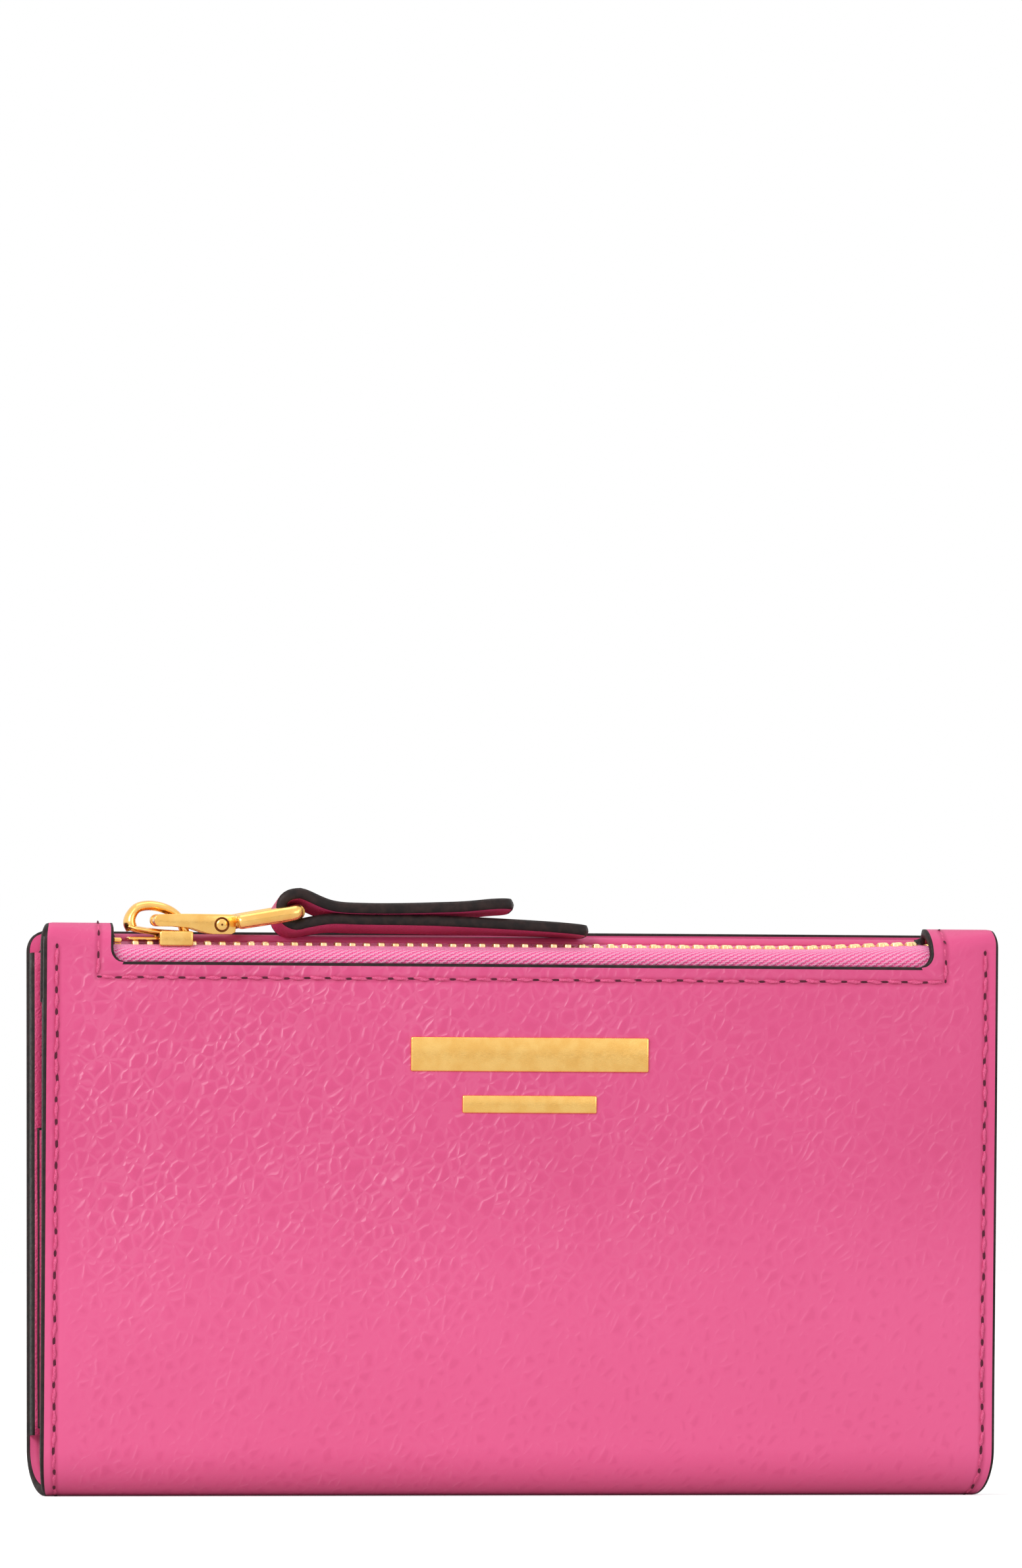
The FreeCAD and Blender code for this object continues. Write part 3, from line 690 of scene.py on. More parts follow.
def join_parts(parts):
    """Join lists of (vertices, faces) into one."""
    vertices, faces = [], []
    for part_vertices, part_faces in parts:
        start = len(vertices)
        vertices += list(part_vertices)
        faces += [[start + k for k in face] for face in part_faces]
    return vertices, faces


def rounded_block(low, high, radius, segments=3):
    """Vertices and faces of a block with rounded edges, in the units given."""
    work = bmesh.new()
    bmesh.ops.create_cube(work, size=1.0)
    low, high = Vector(low), Vector(high)
    for vertex in work.verts:
        for k in range(3):
            vertex.co[k] = low[k] if vertex.co[k] < 0 else high[k]
    bmesh.ops.bevel(work, geom=list(work.edges), offset=radius, segments=segments,
                    affect="EDGES", profile=0.5)
    vertices = [np.array(v.co) for v in work.verts]
    faces = [[v.index for v in face.verts] for face in work.faces]
    work.free()
    return vertices, faces


def metal_piece(name, parts, body, nodes, material=GILT_MAT, bevel=0.0):
    """One piece from parts given as (x, depth, v) millimetres of the front half."""
    vertices, faces = join_parts(parts)
    x, depth, v = np.array(vertices, float).T
    piece = new_piece(name, half_point(-1, x, depth, v), faces, [material])
    if bevel:
        rounding = piece.modifiers.new("Rounding", "BEVEL")
        rounding.width = bevel * MM
        rounding.segments = 2
    assign(piece, body, nodes)


# ---------------------------------------------------------------- outer leather

def taper(s):
    """How far the side edges draw in near the middle of the fold."""
    return 1.7 * np.clip(1 - s / 11.0, 0, 1) ** 1.8


def hood_radius(x):
    """The hood is full across the window and pinched flat at both side edges."""
    pinch = smooth((np.abs(x) - PINCH_START) / (HALF_WIDTH - PINCH_START))
    return HOOD_R + (EDGE_HOOD_R - HOOD_R) * pinch


def channel(distance, width=0.9, depth=0.16):
    """The groove that a row of stitches pulls into the leather."""
    return depth * np.exp(-(distance / width) ** 2)


def belly(x, s, length, height):
    """The soft swelling of a face, highest in its middle."""
    return height * np.sin(math.pi * np.clip((s - ARC) / length, 0, 1)) \
        * np.clip(1 - (x / HALF_WIDTH) ** 4, 0, 1)


def fold_angle(s):
    """Angle round the fold, from where the flat face starts."""
    return np.clip((ARC - s) / FOLD_R, 0, None)


def round_fold(s, depth, v):
    """Depth and height of a place: those given, or round the fold's arc below them."""
    angle = fold_angle(s)
    return (np.where(s < ARC, FOLD_R - FOLD_R * np.cos(angle), depth),
            np.where(s < ARC, FOLD_R - FOLD_R * np.sin(angle), v))


def window_warp(x, s):
    """Round the corners of the zip window by moving its side edges."""
    inset = 0.0
    for radius, away in ((2.2, s - SILL_S), (0.7, FAR_S - s)):
        inset = inset + corner_inset(radius - np.clip(away, 0, radius), radius)
    below = smooth((s - (SILL_S - 2.0)) / 2.0)
    beyond = 1 - smooth((s - FAR_S) / 2.0)
    away = np.abs(x) - WINDOW_HALF
    near = np.exp(-(away / np.where(away > 0, 1.1, 3.4)) ** 2)
    return x - np.sign(x) * inset * near * below * beyond


def front_groove(x, s):
    """Stitch grooves up both sides, under the window and beside it."""
    groove = channel(np.abs(x) - SIDE_STITCH) * (1 - smooth((s - SIDE_TOP) / 1.5))
    below_sill = smooth(WINDOW_HALF + WINDOW_STITCH + 1 - np.abs(x))
    groove = groove + channel(s - SILL_S + WINDOW_STITCH) * below_sill
    beside = smooth(s - SILL_S + WINDOW_STITCH + 1)
    return groove + channel(np.abs(x) - WINDOW_HALF - WINDOW_STITCH) * beside


def front_surface(x, s):
    """Outer face of the front leather from the middle of the fold over the hood to its flap."""
    x = window_warp(x, s)
    hood = np.clip((s - HOOD_START) / HOOD_LENGTH, 0, 1) * math.pi
    x = x * (HALF_WIDTH - (taper(s) + 0.5 * np.sin(hood) ** 2)) / HALF_WIDTH
    radius = hood_radius(x)
    crest = FRONT_CREST - 0.5 * np.clip((np.abs(x) - 74.6) / 1.4, 0, 1) ** 2
    centre = crest - radius
    rise = np.clip((s - ARC) / STRAIGHT, 0, 1)
    fall = np.clip((s - FLAP_START) / FLAP_LENGTH, 0, 1)
    height = FOLD_R + rise * (centre - FOLD_R) + radius * np.sin(hood) - fall * (centre - FLAP_END)
    depth, v = round_fold(s, radius - radius * np.cos(hood), height)
    far_edge_dip = 0.5 * smooth((depth - 5.2) / 1.6)
    v = v - far_edge_dip * smooth((WINDOW_HALF + 3 - np.abs(x)) / 4) * (s > FAR_S - 3)
    face = smooth((s - ARC) / 10) * (1 - smooth((s - HOOD_START + 1) / 4))
    swell = belly(x, s, STRAIGHT, 0.35) + 0.10 * np.sin(x / 17.0 + 0.8) * np.sin(s / 13.0)
    groove = front_groove(x, s)
    return half_point(-1, x, depth - (swell - groove) * face + groove * (1 - face) * 0.6, v)


def back_surface(x, s):
    """Outer face of the back leather from the middle of the fold to its top edge."""
    into = np.clip(s - (BACK_TOP_S - BACK_CORNER), 0, BACK_CORNER)
    x = x * (HALF_WIDTH - taper(s) - corner_inset(into, BACK_CORNER)) / HALF_WIDTH
    rises_to_the_right = 0.15 + 0.35 * smooth((x + 60) / 120)
    tall = 1 + rises_to_the_right / (BACK_TOP - FOLD_R)
    depth, v = round_fold(s, 0.0, FOLD_R + (s - ARC) * tall)
    swell = belly(x, s, BACK_TOP_S - ARC, 0.3)
    return half_point(1, x, depth - swell + channel(np.abs(x) - SIDE_STITCH), v)


def side_columns():
    return [HALF_WIDTH, HALF_WIDTH - PAINT] + around(SIDE_STITCH, GROOVE_CELL, -3, 2)


def in_window(x, s):
    return (np.abs(x) < WINDOW_HALF) & (s > SILL_S) & (s < FAR_S)


def front_edge_painted(x, s):
    """All cut edges but the join at the fold and the far edge of the window."""
    far_edge = abs(x) < WINDOW_HALF - 0.2 and FAR_S - 1 < s < FAR_S + 1
    return s > 0.01 and not far_edge


def front_leather():
    columns = spaced(0, 60, 2.2) + around(WINDOW_HALF, 0.35, -6, 3) + [70, 71.2]
    columns += around(WINDOW_HALF + WINDOW_STITCH, GROOVE_CELL, -2, 2) + side_columns()
    rows = spaced(0, ARC + 2, 0.9) + spaced(ARC + 2, SILL_S - 5, 2.0)
    rows += around(SILL_S - WINDOW_STITCH, GROOVE_CELL, -4, 3)
    rows += [SILL_S - PAINT] + [SILL_S + k for k in (0, 0.14, 0.3, 0.5, 0.8, 1.2, 1.7, 2.2)]
    rows += spaced(SILL_S + 3, FAR_S - 2, 0.5) + spaced(FAR_S - 2, FAR_S, 0.35)
    rows += [FAR_S + PAINT] + spaced(FAR_S + PAINT, FLAP_START, 0.6)
    end = FLAP_START + FLAP_LENGTH
    rows += spaced(FLAP_START, end - PAINT, 1.0) + [end]
    piece = sheet("front_leather", mirrored(columns), merge_sorted(rows), front_surface, LEATHER,
                  [LEATHER_MAT, PAINT_MAT], hole=in_window, painted=front_edge_painted)
    bend_at_fold(piece)
    assign(piece, nodes=["front_panel", "spine_leather"])


def back_leather():
    columns = mirrored(spaced(0, 72, 2.4) + side_columns())
    corner_s = BACK_TOP_S - BACK_CORNER
    rows = spaced(0, ARC + 2, 0.9) + spaced(ARC + 2, corner_s, 2.2)
    rows += spaced(corner_s, BACK_TOP_S - PAINT, 0.4) + [BACK_TOP_S]
    piece = sheet("back_leather", columns, merge_sorted(rows), back_surface, LEATHER,
                  [BACK_MAT, PAINT_MAT], painted=lambda x, s: s > 0.01, side=1)
    bend_at_fold(piece)
    assign(piece, nodes=["back_panel"])


# ---------------------------------------------------------------- stitches

THREAD_R = 0.27
THREAD_SIDES = 10


def surface_frame(surface, side, x, s):
    """Point and outward normal of a surface at a pattern place."""
    step = 0.15
    point = surface(np.array(x), np.array(s))
    along = surface(np.array(x + step), np.array(s)) - surface(np.array(x - step), np.array(s))
    up = surface(np.array(x), np.array(s + step)) - surface(np.array(x), np.array(s - step))
    normal = np.cross(along / np.linalg.norm(along), up / np.linalg.norm(up))
    return point, -side * normal / np.linalg.norm(normal)


def one_stitch(start, end, normal):
    """A stitch of two-ply thread: it leaves one hole, lies on the leather and dives again."""
    start, end = start / MM, end / MM
    sideways = np.cross(end - start, normal)
    sideways /= np.linalg.norm(sideways)
    slant = sideways * random.uniform(0.02, 0.16)
    points, radii = [], []
    for t in np.linspace(0, 1, 9):
        lift = 0.18 * math.sin(math.pi * t) ** 0.5 - 0.12
        points.append(start * (1 - t) + end * t + normal * lift + slant * (2 * t - 1))
        radii.append(THREAD_R * (0.72 + 0.36 * math.sin(math.pi * t)))
    vertices, faces = tube(points, radii, THREAD_SIDES)
    turns = random.uniform(0, math.pi)
    shaped = []
    for ring, middle in enumerate(points):
        twist = turns + ring * 0.55
        for angle in circle(THREAD_SIDES):
            pinch = 1 + 0.20 * math.cos(2 * (angle - twist))
            shaped.append((middle + (vertices[len(shaped)] - middle) * pinch) * MM)
    return shaped, faces


def hole_shade_mark(point, normal, direction, length=0.42, width=0.24):
    """A small dark dent where the thread enters the leather; the dark is painted shade of the needle
    hole.
    """
    corners = 10
    across = np.cross(normal, direction)
    rim = []
    for angle in circle(corners):
        rim.append(point + (direction * length * math.cos(angle)
                            + across * width * math.sin(angle) + normal * 0.03) * MM)
    top = point + normal * 0.07 * MM
    return rim + [top], [[k, (k + 1) % corners, corners] for k in range(corners)]


def stitch_run(name, side, surface, stops, width=0.24):
    """A run of stitches through pattern places; returns the thread and the dark marks of painted
    needle-hole shade.
    """
    threads, marks = [], []
    frames = [surface_frame(surface, side, x, s) for x, s in stops]
    for (a, normal_a), (b, normal_b) in zip(frames, frames[1:]):
        normal = normal_a + normal_b
        normal /= np.linalg.norm(normal)
        direction = (b - a) / np.linalg.norm(b - a)
        gap = direction * random.uniform(0.40, 0.62) * MM
        threads.append(one_stitch(a + gap, b - gap, normal))
        marks.append(hole_shade_mark(a, normal_a, direction, random.uniform(0.56, 0.84), width))
    last, normal = frames[-1]
    marks.append(hole_shade_mark(last, normal, direction))
    return (new_piece(name, *join_parts(threads), [THREAD_MAT]),
            new_piece(name + "_holes", *join_parts(marks), [HOLE_SHADE_MAT]))


def side_stitches():
    """Stitches up both side edges of both halves, from the middle of the fold."""
    for half, side, surface, top in (("front", -1, front_surface, SIDE_TOP),
                                     ("back", 1, back_surface, BACK_TOP_S - 3.0)):
        for label, x in (("left", -SIDE_STITCH), ("right", SIDE_STITCH)):
            stops = [(x + random.uniform(-0.12, 0.12), s) for s in spaced(1.6, top, STITCH_PITCH)]
            thread, hole_shade = stitch_run(f"{half}_stitches_{label}", side, surface, stops)
            for piece, nodes in ((thread, [f"{half}_thread_{label}"]), (hole_shade, [])):
                bend_at_fold(piece)
                assign(piece, nodes=nodes)


def window_stitches():
    """One line of stitches around the zip window, over both ears."""
    x, low = WINDOW_HALF + WINDOW_STITCH, SILL_S - WINDOW_STITCH
    high = FAR_S + WINDOW_STITCH
    up = [(-x, s) for s in spaced(high, low, STITCH_PITCH)]
    sill = [(place, low) for place in spaced(-x, x, STITCH_PITCH)]
    down = [(x, s) for s in spaced(low, high, STITCH_PITCH)]
    far = [(place, high) for place in spaced(x, -x, STITCH_PITCH)]
    stops = [(a, s + random.uniform(-0.06, 0.06)) for a, s in up + sill[1:] + down[1:] + far[1:]]
    thread, hole_shade = stitch_run("window_stitches", -1, front_surface, stops, 0.19)
    assign(thread, "front_half", ["window_thread"])
    assign(hole_shade, "front_half")


# ---------------------------------------------------------------- inner leaves and linings

def front_stack_depth(v):
    """How thick the pressed and painted side edge of the front half is at a height."""
    return FRONT_STACK_LOW + (FRONT_STACK_HIGH - FRONT_STACK_LOW) * np.clip((v - 10) / 68, 0, 1)


def front_leaf_depth(x, v):
    """Outer side of the front base leaf: it bellies over the coin pouch, thin at the sides."""
    middle = 2.4 + 2.1 * smooth((v - 12) / 46)
    side = smooth((np.abs(x) - 56) / 17)
    return middle * (1 - side) + (front_stack_depth(v) - 0.95) * side * 0.98


def leaf_rows(bottom, top):
    return [bottom, bottom + 0.3] + spaced(bottom + 1.5, top - 1.5, 3.0) + [top - 0.3, top]


def leaf_columns(half):
    return mirrored(spaced(0, half - 2, 3.0) + [half - 1, half - 0.3, half])


def leaf(name, side, half, bottom, top, depth, thickness, node_name, corner=0.0):
    """A flat leaf of a half at a depth from its outer face, with rounded top corners."""
    def place(x, v):
        if corner:
            x = x * (half - corner_inset(np.clip(v - (top - corner), 0, corner), corner)) / half
        return half_point(side, x, depth(x, v), v)

    rows = leaf_rows(bottom, top)
    if corner:
        rows = merge_sorted(rows + spaced(top - corner, top - 0.3, 0.4))
    piece = sheet(name, leaf_columns(half), rows, place, thickness, [INNER_MAT, PAINT_MAT],
                  bulge=0.08, side=side)
    assign(piece, half_body(side), [node_name])


def ripple(x, v, seed):
    return 0.05 * np.sin(x / 11.0 + seed) * np.sin(v / 9.0 + 2 * seed)


def back_leaves():
    """Base leaf and stepped card pockets of the back half."""
    leaf("back_base_leaf", 1, LEAF_HALF, LEAF_BOTTOM, 86.2, lambda x, v: 2.45 + ripple(x, v, 1.0),
         0.6, "back_inner_panel", corner=3.0)
    for k in range(POCKETS):
        depth = BACK_POCKET_DEPTH + POCKET_RISE * k
        leaf(f"back_card_pocket_{k + 1}", 1, 75.0, 10.6, 79.5 - POCKET_STEP * k,
             lambda x, v: depth + ripple(x, v, k + 2.0), POCKET_LEAF, f"back_pocket_{k + 1}")


def front_leaves():
    """Base leaf and stepped card pockets of the front half."""
    leaf("front_base_leaf", -1, LEAF_HALF, LEAF_BOTTOM, 80.0, front_leaf_depth, 0.6,
         "front_inner_panel")
    for k in range(POCKETS):
        lift = FRONT_POCKET_LIFT + POCKET_RISE * k

        def pocket_depth(x, v):
            side = smooth((np.abs(x) - 62) / 12)
            return front_leaf_depth(x, v) + lift * (1 - 0.72 * side) + ripple(x, v, k) * (1 - side)

        leaf(f"front_card_pocket_{k + 1}", -1, 74.9, 17.0 + POCKET_STEP * k, 79.6, pocket_depth,
             POCKET_LEAF, f"front_pocket_{k + 1}")


def pocket_seams():
    """A line of stitches down each half's pockets that parts the card columns."""
    top_pocket = POCKET_RISE * (POCKETS - 1)

    def back_pockets(x, v):
        return half_point(1, x, BACK_POCKET_DEPTH + top_pocket + POCKET_LEAF + 0 * v, v)

    def front_pockets(x, v):
        lift = FRONT_POCKET_LIFT
        return half_point(-1, x, front_leaf_depth(x, v) + lift + top_pocket + POCKET_LEAF, v)

    seam_x = 16.0
    for half, side, surface, low, high in (("back", 1, back_pockets, 12.0, 56.0),
                                           ("front", -1, front_pockets, 41.0, 76.0)):
        stops = [(seam_x, v) for v in spaced(low, high, STITCH_PITCH)]
        for piece in stitch_run(f"{half}_pocket_seam", -side, surface, stops):
            assign(piece, f"{half}_half")


def lining_surface(side):
    """The face of a half's cloth: the outer leather's face moved in by its thickness."""
    base = back_surface if side > 0 else front_surface
    push = (LEATHER + 0.05) * MM

    def place(x, s):
        angle = fold_angle(s)
        inward_y = np.where(s < ARC, np.cos(angle), 1.0)
        inward_z = np.where(s < ARC, np.sin(angle), 0.0)
        turn_y = inward_y * math.cos(LEAN) - inward_z * math.sin(LEAN)
        turn_z = inward_z * math.cos(LEAN) + inward_y * math.sin(LEAN)
        return base(x, s) + np.stack([0 * s * x, -side * turn_y * push, turn_z * push], axis=-1)
    return place


def fold_linings():
    """Cloth inside the bill compartment and round the fold."""
    columns = mirrored(spaced(0, 72, 4.0) + [73.5, 74.4])
    top = ARC + 86.6 - FOLD_R
    for name, side, high, nodes in (("back_cloth_lining", 1, top, ["back_lining", "spine_lining"]),
                                    ("front_fold_lining", -1, ARC + 8.0, [])):
        rows = merge_sorted(spaced(0, ARC + 2, 0.9), spaced(ARC + 2, high, 2.5))
        piece = sheet(name, columns, rows, lining_surface(side), 0.35, [LINING_MAT, LINING_MAT],
                      bulge=0.02, side=side)
        bend_at_fold(piece)
        assign(piece, nodes=nodes)


def coin_pouch():
    """Two layers of cloth that hang behind the zip."""
    def near(x, v):
        return half_point(-1, x, 1.95 + 0.12 * np.sin(x / 9.0) * np.sin(v / 7.0) ** 2, v)

    def far(x, v):
        slack = 0.14 * (1 + np.sin(x / 8.0 + 1.0) * np.sin(v / 6.0))
        return half_point(-1, x, front_leaf_depth(x, v) - 0.12 - slack, v)

    for name, place, nodes in (("coin_pouch_near", near, ["coin_pocket_lining"]),
                               ("coin_pouch_far", far, [])):
        piece = sheet(name, leaf_columns(WINDOW_HALF - 1.0), leaf_rows(17.0, 80.5), place, 0.2,
                      [LINING_MAT, LINING_MAT], bulge=0.02)
        assign(piece, "front_half", nodes)


def stack_section(x_side, v, near, far):
    """One level of a pressed side edge: a domed outer face and a flat inner one."""
    middle, half = (near + far) / 2, (far - near) / 2
    section = []
    for k in range(9):
        angle = math.pi * (k / 8 - 0.5)
        reach = HALF_WIDTH - 0.55 + 0.5 * math.cos(angle) ** 0.6
        section.append((x_side * reach, middle + half * math.sin(angle), v))
    inner_x = x_side * (HALF_WIDTH - 1.9)
    return section + [(inner_x, far, v), (inner_x, near, v)]


def side_stack(name, side, x_side, rows, far):
    """The pressed, painted side edge of a half, from just inside its leather to far(v)."""
    sections = [stack_section(x_side, v, STACK_START, far(v)) for v in rows]
    flat = np.array(sections).reshape(-1, 3)
    # the dome's last facet toward the inside takes the tan line on the front half
    coat = [0] * 7 + [2 if side < 0 else 0, 1, 1, 1]
    piece = new_piece(name, half_point(side, *flat.T), skin(len(coat), len(sections)),
                      [PAINT_MAT, INNER_MAT, TAN_LINE_MAT], coat * (len(sections) - 1) + [1, 1])
    store_rest(piece, flat[:, [1, 2, 0]] * MM)
    assign(piece, half_body(side))


def side_stacks():
    for label, x_side in (("left", -1), ("right", 1)):
        side_stack(f"back_painted_edge_{label}", 1, x_side, spaced(STACK_BOTTOM, 85.0, 2.5),
                   lambda v: BACK_STACK + 0.08 * math.sin(v / 5.0))
        side_stack(f"front_painted_edge_{label}", -1, x_side,
                   spaced(STACK_BOTTOM, FLAP_END + 0.5, 2.5),
                   lambda v: float(front_stack_depth(v)) + 0.05)
        side_stack(f"hood_painted_edge_{label}", -1, x_side,
                   spaced(FLAP_END + 0.5, FRONT_CREST - 2.2, 1.5), lambda v: 2 * EDGE_HOOD_R - 1.2)


# ---------------------------------------------------------------- zip

def chain_lift(x):
    """The zip rises a little toward its right end."""
    return 0.7 * smooth((np.asarray(x, float) - 44) / 20)


def zipper_tape(name, path, node_name, flip):
    """One tape: cloth that turns up from behind the leather to the roots of its teeth."""
    curve = spline(path, 60)
    length = float(np.sum(np.linalg.norm(np.diff(curve, axis=0), axis=1)))

    def place(x, s):
        depth, v = np.moveaxis(along_curve(curve, s / length), -1, 0)
        wave = 0.06 * np.sin(x / 5.3) * np.sin(math.pi * np.clip(s / length, 0, 1))
        lift = chain_lift(x * flip) * np.clip(s / length - 0.35, 0, 1) / 0.65
        return half_point(-1, x * flip, depth - wave * flip, v + lift)

    columns = mirrored(spaced(0, WINDOW_HALF + 1.2, 1.6))
    piece = sheet(name, columns, spaced(0, length, 0.35), place, 0.4, [TAPE_MAT, TAPE_MAT],
                  bulge=0.03)
    assign(piece, "front_half", [node_name])


def tooth(x, direction, low, top):
    """A stamped tooth: a wide root on its tape and a narrower head across the middle."""
    parts = []
    for half, start, end, below, above, radius in ((0.55, -1.95, -0.62, low, top, 0.30),
                                                   (0.42, -0.95, 0.62, low + 0.1, top - 0.2, 0.25)):
        near, far = sorted((CHAIN_DEPTH + direction * start, CHAIN_DEPTH + direction * end))
        parts.append(rounded_block((x - half, near, below), (x + half, far, above), radius))
    return parts


def zipper_teeth():
    """Two meshing rows; the far row lies lower except toward the right end."""
    low, high = CHAIN_V - 1.1, CHAIN_V + 0.36
    for name, direction, shift, node_name in (("near_teeth", 1, 0.0, "zipper_teeth_front"),
                                              ("far_teeth", -1, TOOTH_PITCH / 2,
                                               "zipper_teeth_rear")):
        parts = []
        for k in range(TOOTH_COUNT):
            x = TOOTH_START + shift + k * TOOTH_PITCH + random.uniform(-0.03, 0.03)
            top = high + random.uniform(-0.04, 0.04) + float(chain_lift(x))
            if direction < 0:
                top -= 0.55 * (1 - float(smooth((x + 5) / 40)))
            parts += tooth(x, direction, low, top)
        metal_piece(name, parts, "front_half", [node_name], TEETH_MAT)


def zipper_stops():
    for node_name in ("zipper_top_stop", "zipper_bottom_stop"):
        left, right = (corner[0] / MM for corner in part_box(node_name))
        parts = []
        for lift in (0.0, 0.85):
            parts.append(rounded_block((left, 2.5, CHAIN_V - 0.8 + lift),
                                       (right, 5.9, CHAIN_V - 0.05 + lift), 0.25))
        metal_piece(node_name + "_shaped", parts, "front_half", [node_name])


# ---------------------------------------------------------------- slider and pull

def over_chain(points):
    """Places (x, v) above the middle of the chain."""
    return [(x, CHAIN_DEPTH, v) for x, v in points]


def cross_line(x, v, depths):
    """Places in a line across the chain."""
    return [(x, depth, v) for depth in depths]


def slider():
    """Stamped body: a bowed plate, a heavy flange each side, a nose below and an arched bridge."""
    plate = spline([(-62.5, 88.95), (-61.2, 88.6), (-59.0, 88.25), (-56.5, 88.0), (-52.8, 87.85)],
                   24)
    widths = [0.42 + 0.10 * smooth(k / 8) for k in range(len(plate))]
    parts = [tube(over_chain(plate), widths, 28, 4.6),
             rounded_block((-62.5, 2.5, 86.85), (-57.4, 5.9, 87.35), 0.22)]
    for near, far in ((1.0, 1.85), (6.55, 7.4)):
        parts.append(rounded_block((-57.85, near, 85.95), (-52.45, far, 88.3), 0.38, 4))
    metal_piece("slider_shell", parts, "slider", ["slider_body"])
    arch = spline([(-61.7, 88.5), (-62.1, 89.6), (-61.8, 90.8), (-60.8, 91.9), (-59.0, 92.25),
                   (-57.0, 91.95), (-55.2, 91.1), (-53.9, 89.7), (-53.4, 88.1)], 40)
    radii = [0.76 + 0.22 * math.exp(-((k - 4) / 6) ** 2) for k in range(len(arch))]
    metal_piece("slider_arch", [tube(over_chain(arch), radii, 18, 1.7)], "slider",
                ["slider_bridge"])


def arm_outline():
    """Side view of a fork arm: round eye, straight top, belly that drops to the rivet end."""
    eye_v, eye_r = 89.95, 0.95
    points = []
    for k in range(9):
        angle = math.pi / 2 + math.pi * k / 8
        points.append((EYE_X + eye_r * math.cos(angle), eye_v + eye_r * math.sin(angle)))
    return points + [(-55.0, 88.98), (-52.6, 88.75), (-50.6, 88.1), (-49.3, 87.85),
                     (-46.4, 87.85), (-45.75, 88.2), (-45.65, 89.4), (-45.75, 90.6),
                     (-46.3, 90.95), (-49.5, 90.98), (-53.5, 91.0)]


def fork_arm(low):
    """One arm of the fork, as a plate that starts at a depth."""
    outline = arm_outline()
    count = len(outline)
    vertices = [(x, y, v) for y in (low, low + 1.1) for x, v in outline]
    faces = [list(range(count)), [count + k for k in reversed(range(count))]]
    faces += [[k, (k + 1) % count, count + (k + 1) % count, count + k] for k in range(count)]
    return vertices, faces


def puller_link():
    parts = [fork_arm(CHAIN_DEPTH - 2.5), fork_arm(CHAIN_DEPTH + 1.4)]
    parts.append(tube(cross_line(EYE_X, 89.9, around(CHAIN_DEPTH, 0.25, -8, 8)), 0.8, 16))
    parts.append(rounded_block((-53.4, CHAIN_DEPTH - 1.6, 90.0),
                               (-50.6, CHAIN_DEPTH + 1.6, 90.9), 0.3))
    metal_piece("puller_fork", parts, "link", ["puller_link"], bevel=0.28)


def link_rivet():
    """Rivet with a domed head each side, each with an engraved circle and dot drawn in dark gilt as
    painted shade.
    """
    rivet, grooves = [], []
    for y, out in ((CHAIN_DEPTH - 2.5, -1), (CHAIN_DEPTH + 2.5, 1)):
        track = [(RIVET_X + 1.06 * math.cos(a), y, RIVET_V + 1.06 * math.sin(a))
                 for a in circle(32)]
        dot = cross_line(RIVET_X, RIVET_V, (y, y + out * 0.30))
        # dark gilt ring and dot: painted shade of the engraved circle and dot
        grooves += [tube(track, 0.13, 8, closed=True), tube(dot, 0.17, 12)]
        cap = cross_line(RIVET_X, RIVET_V, [y + out * h for h in (-0.3, 0.08, 0.2, 0.27)])
        rivet.append(tube(cap, [0.93, 0.93, 0.82, 0.5], 24))
    shank = cross_line(RIVET_X, RIVET_V, (CHAIN_DEPTH - 2.4, CHAIN_DEPTH + 2.4))
    rivet.append(tube(shank, 0.9, 24))
    metal_piece("fork_rivet", rivet, "link", ["link_rivet"])
    metal_piece("rivet_groove_shade", grooves, "link", [], GROOVE_SHADE_MAT)


def ring_place(along, depth, above):
    """A place in the ring's own plane to the front half's flat frame."""
    return (RIVET_X + along * math.cos(RING_RISE) - above * math.sin(RING_RISE), depth,
            RIVET_V + along * math.sin(RING_RISE) + above * math.cos(RING_RISE))


def ring_rod(way):
    """Centre line of one rod of the ring, round its corner to the bar in the strap."""
    half, turn = 4.0, 1.1
    rod = [ring_place(a, CHAIN_DEPTH + way * half, -0.05 * a / 12)
           for a in (2.35, 2.5, 2.8, 3.4, 6.0, 9.0, 10.6)]
    for q in (0.35, 0.8, 1.25, 1.57):
        rod.append(ring_place(RING_REACH - 1.0 + 1.0 * math.sin(q),
                              CHAIN_DEPTH + way * (half - turn + turn * math.cos(q)), 0.0))
    return rod + [ring_place(RING_REACH, CHAIN_DEPTH + way * 1.0, 0.0)]


def pull_ring():
    """Cast loop: two heavy rods, a cross bar at the rivet end and a bar inside the strap."""
    radii = [0.95, 1.08, 1.15, 1.17, 1.19, 1.22, 1.22, 1.22, 1.2, 1.18, 1.16, 1.15]
    cross = [ring_place(3.6, CHAIN_DEPTH + b, 0.0) for b in np.linspace(-3.6, 3.6, 9)]
    bar = [ring_place(RING_REACH, CHAIN_DEPTH + b, 0.0) for b in np.linspace(-1.6, 1.6, 5)]
    tongue = [ring_place(a, CHAIN_DEPTH, 0.0) for a in (-0.9, 0.0, 1.2, 2.4, 3.6)]
    parts = [tube(ring_rod(way), radii, 20) for way in (-1, 1)]
    parts += [tube(cross, 1.05, 16), tube(bar, 1.15, 16),
              tube(tongue, [0.7, 1.15, 1.15, 1.1, 1.0], 16, 1.05)]
    metal_piece("pull_loop", parts, "ring", ["pull_ring"])


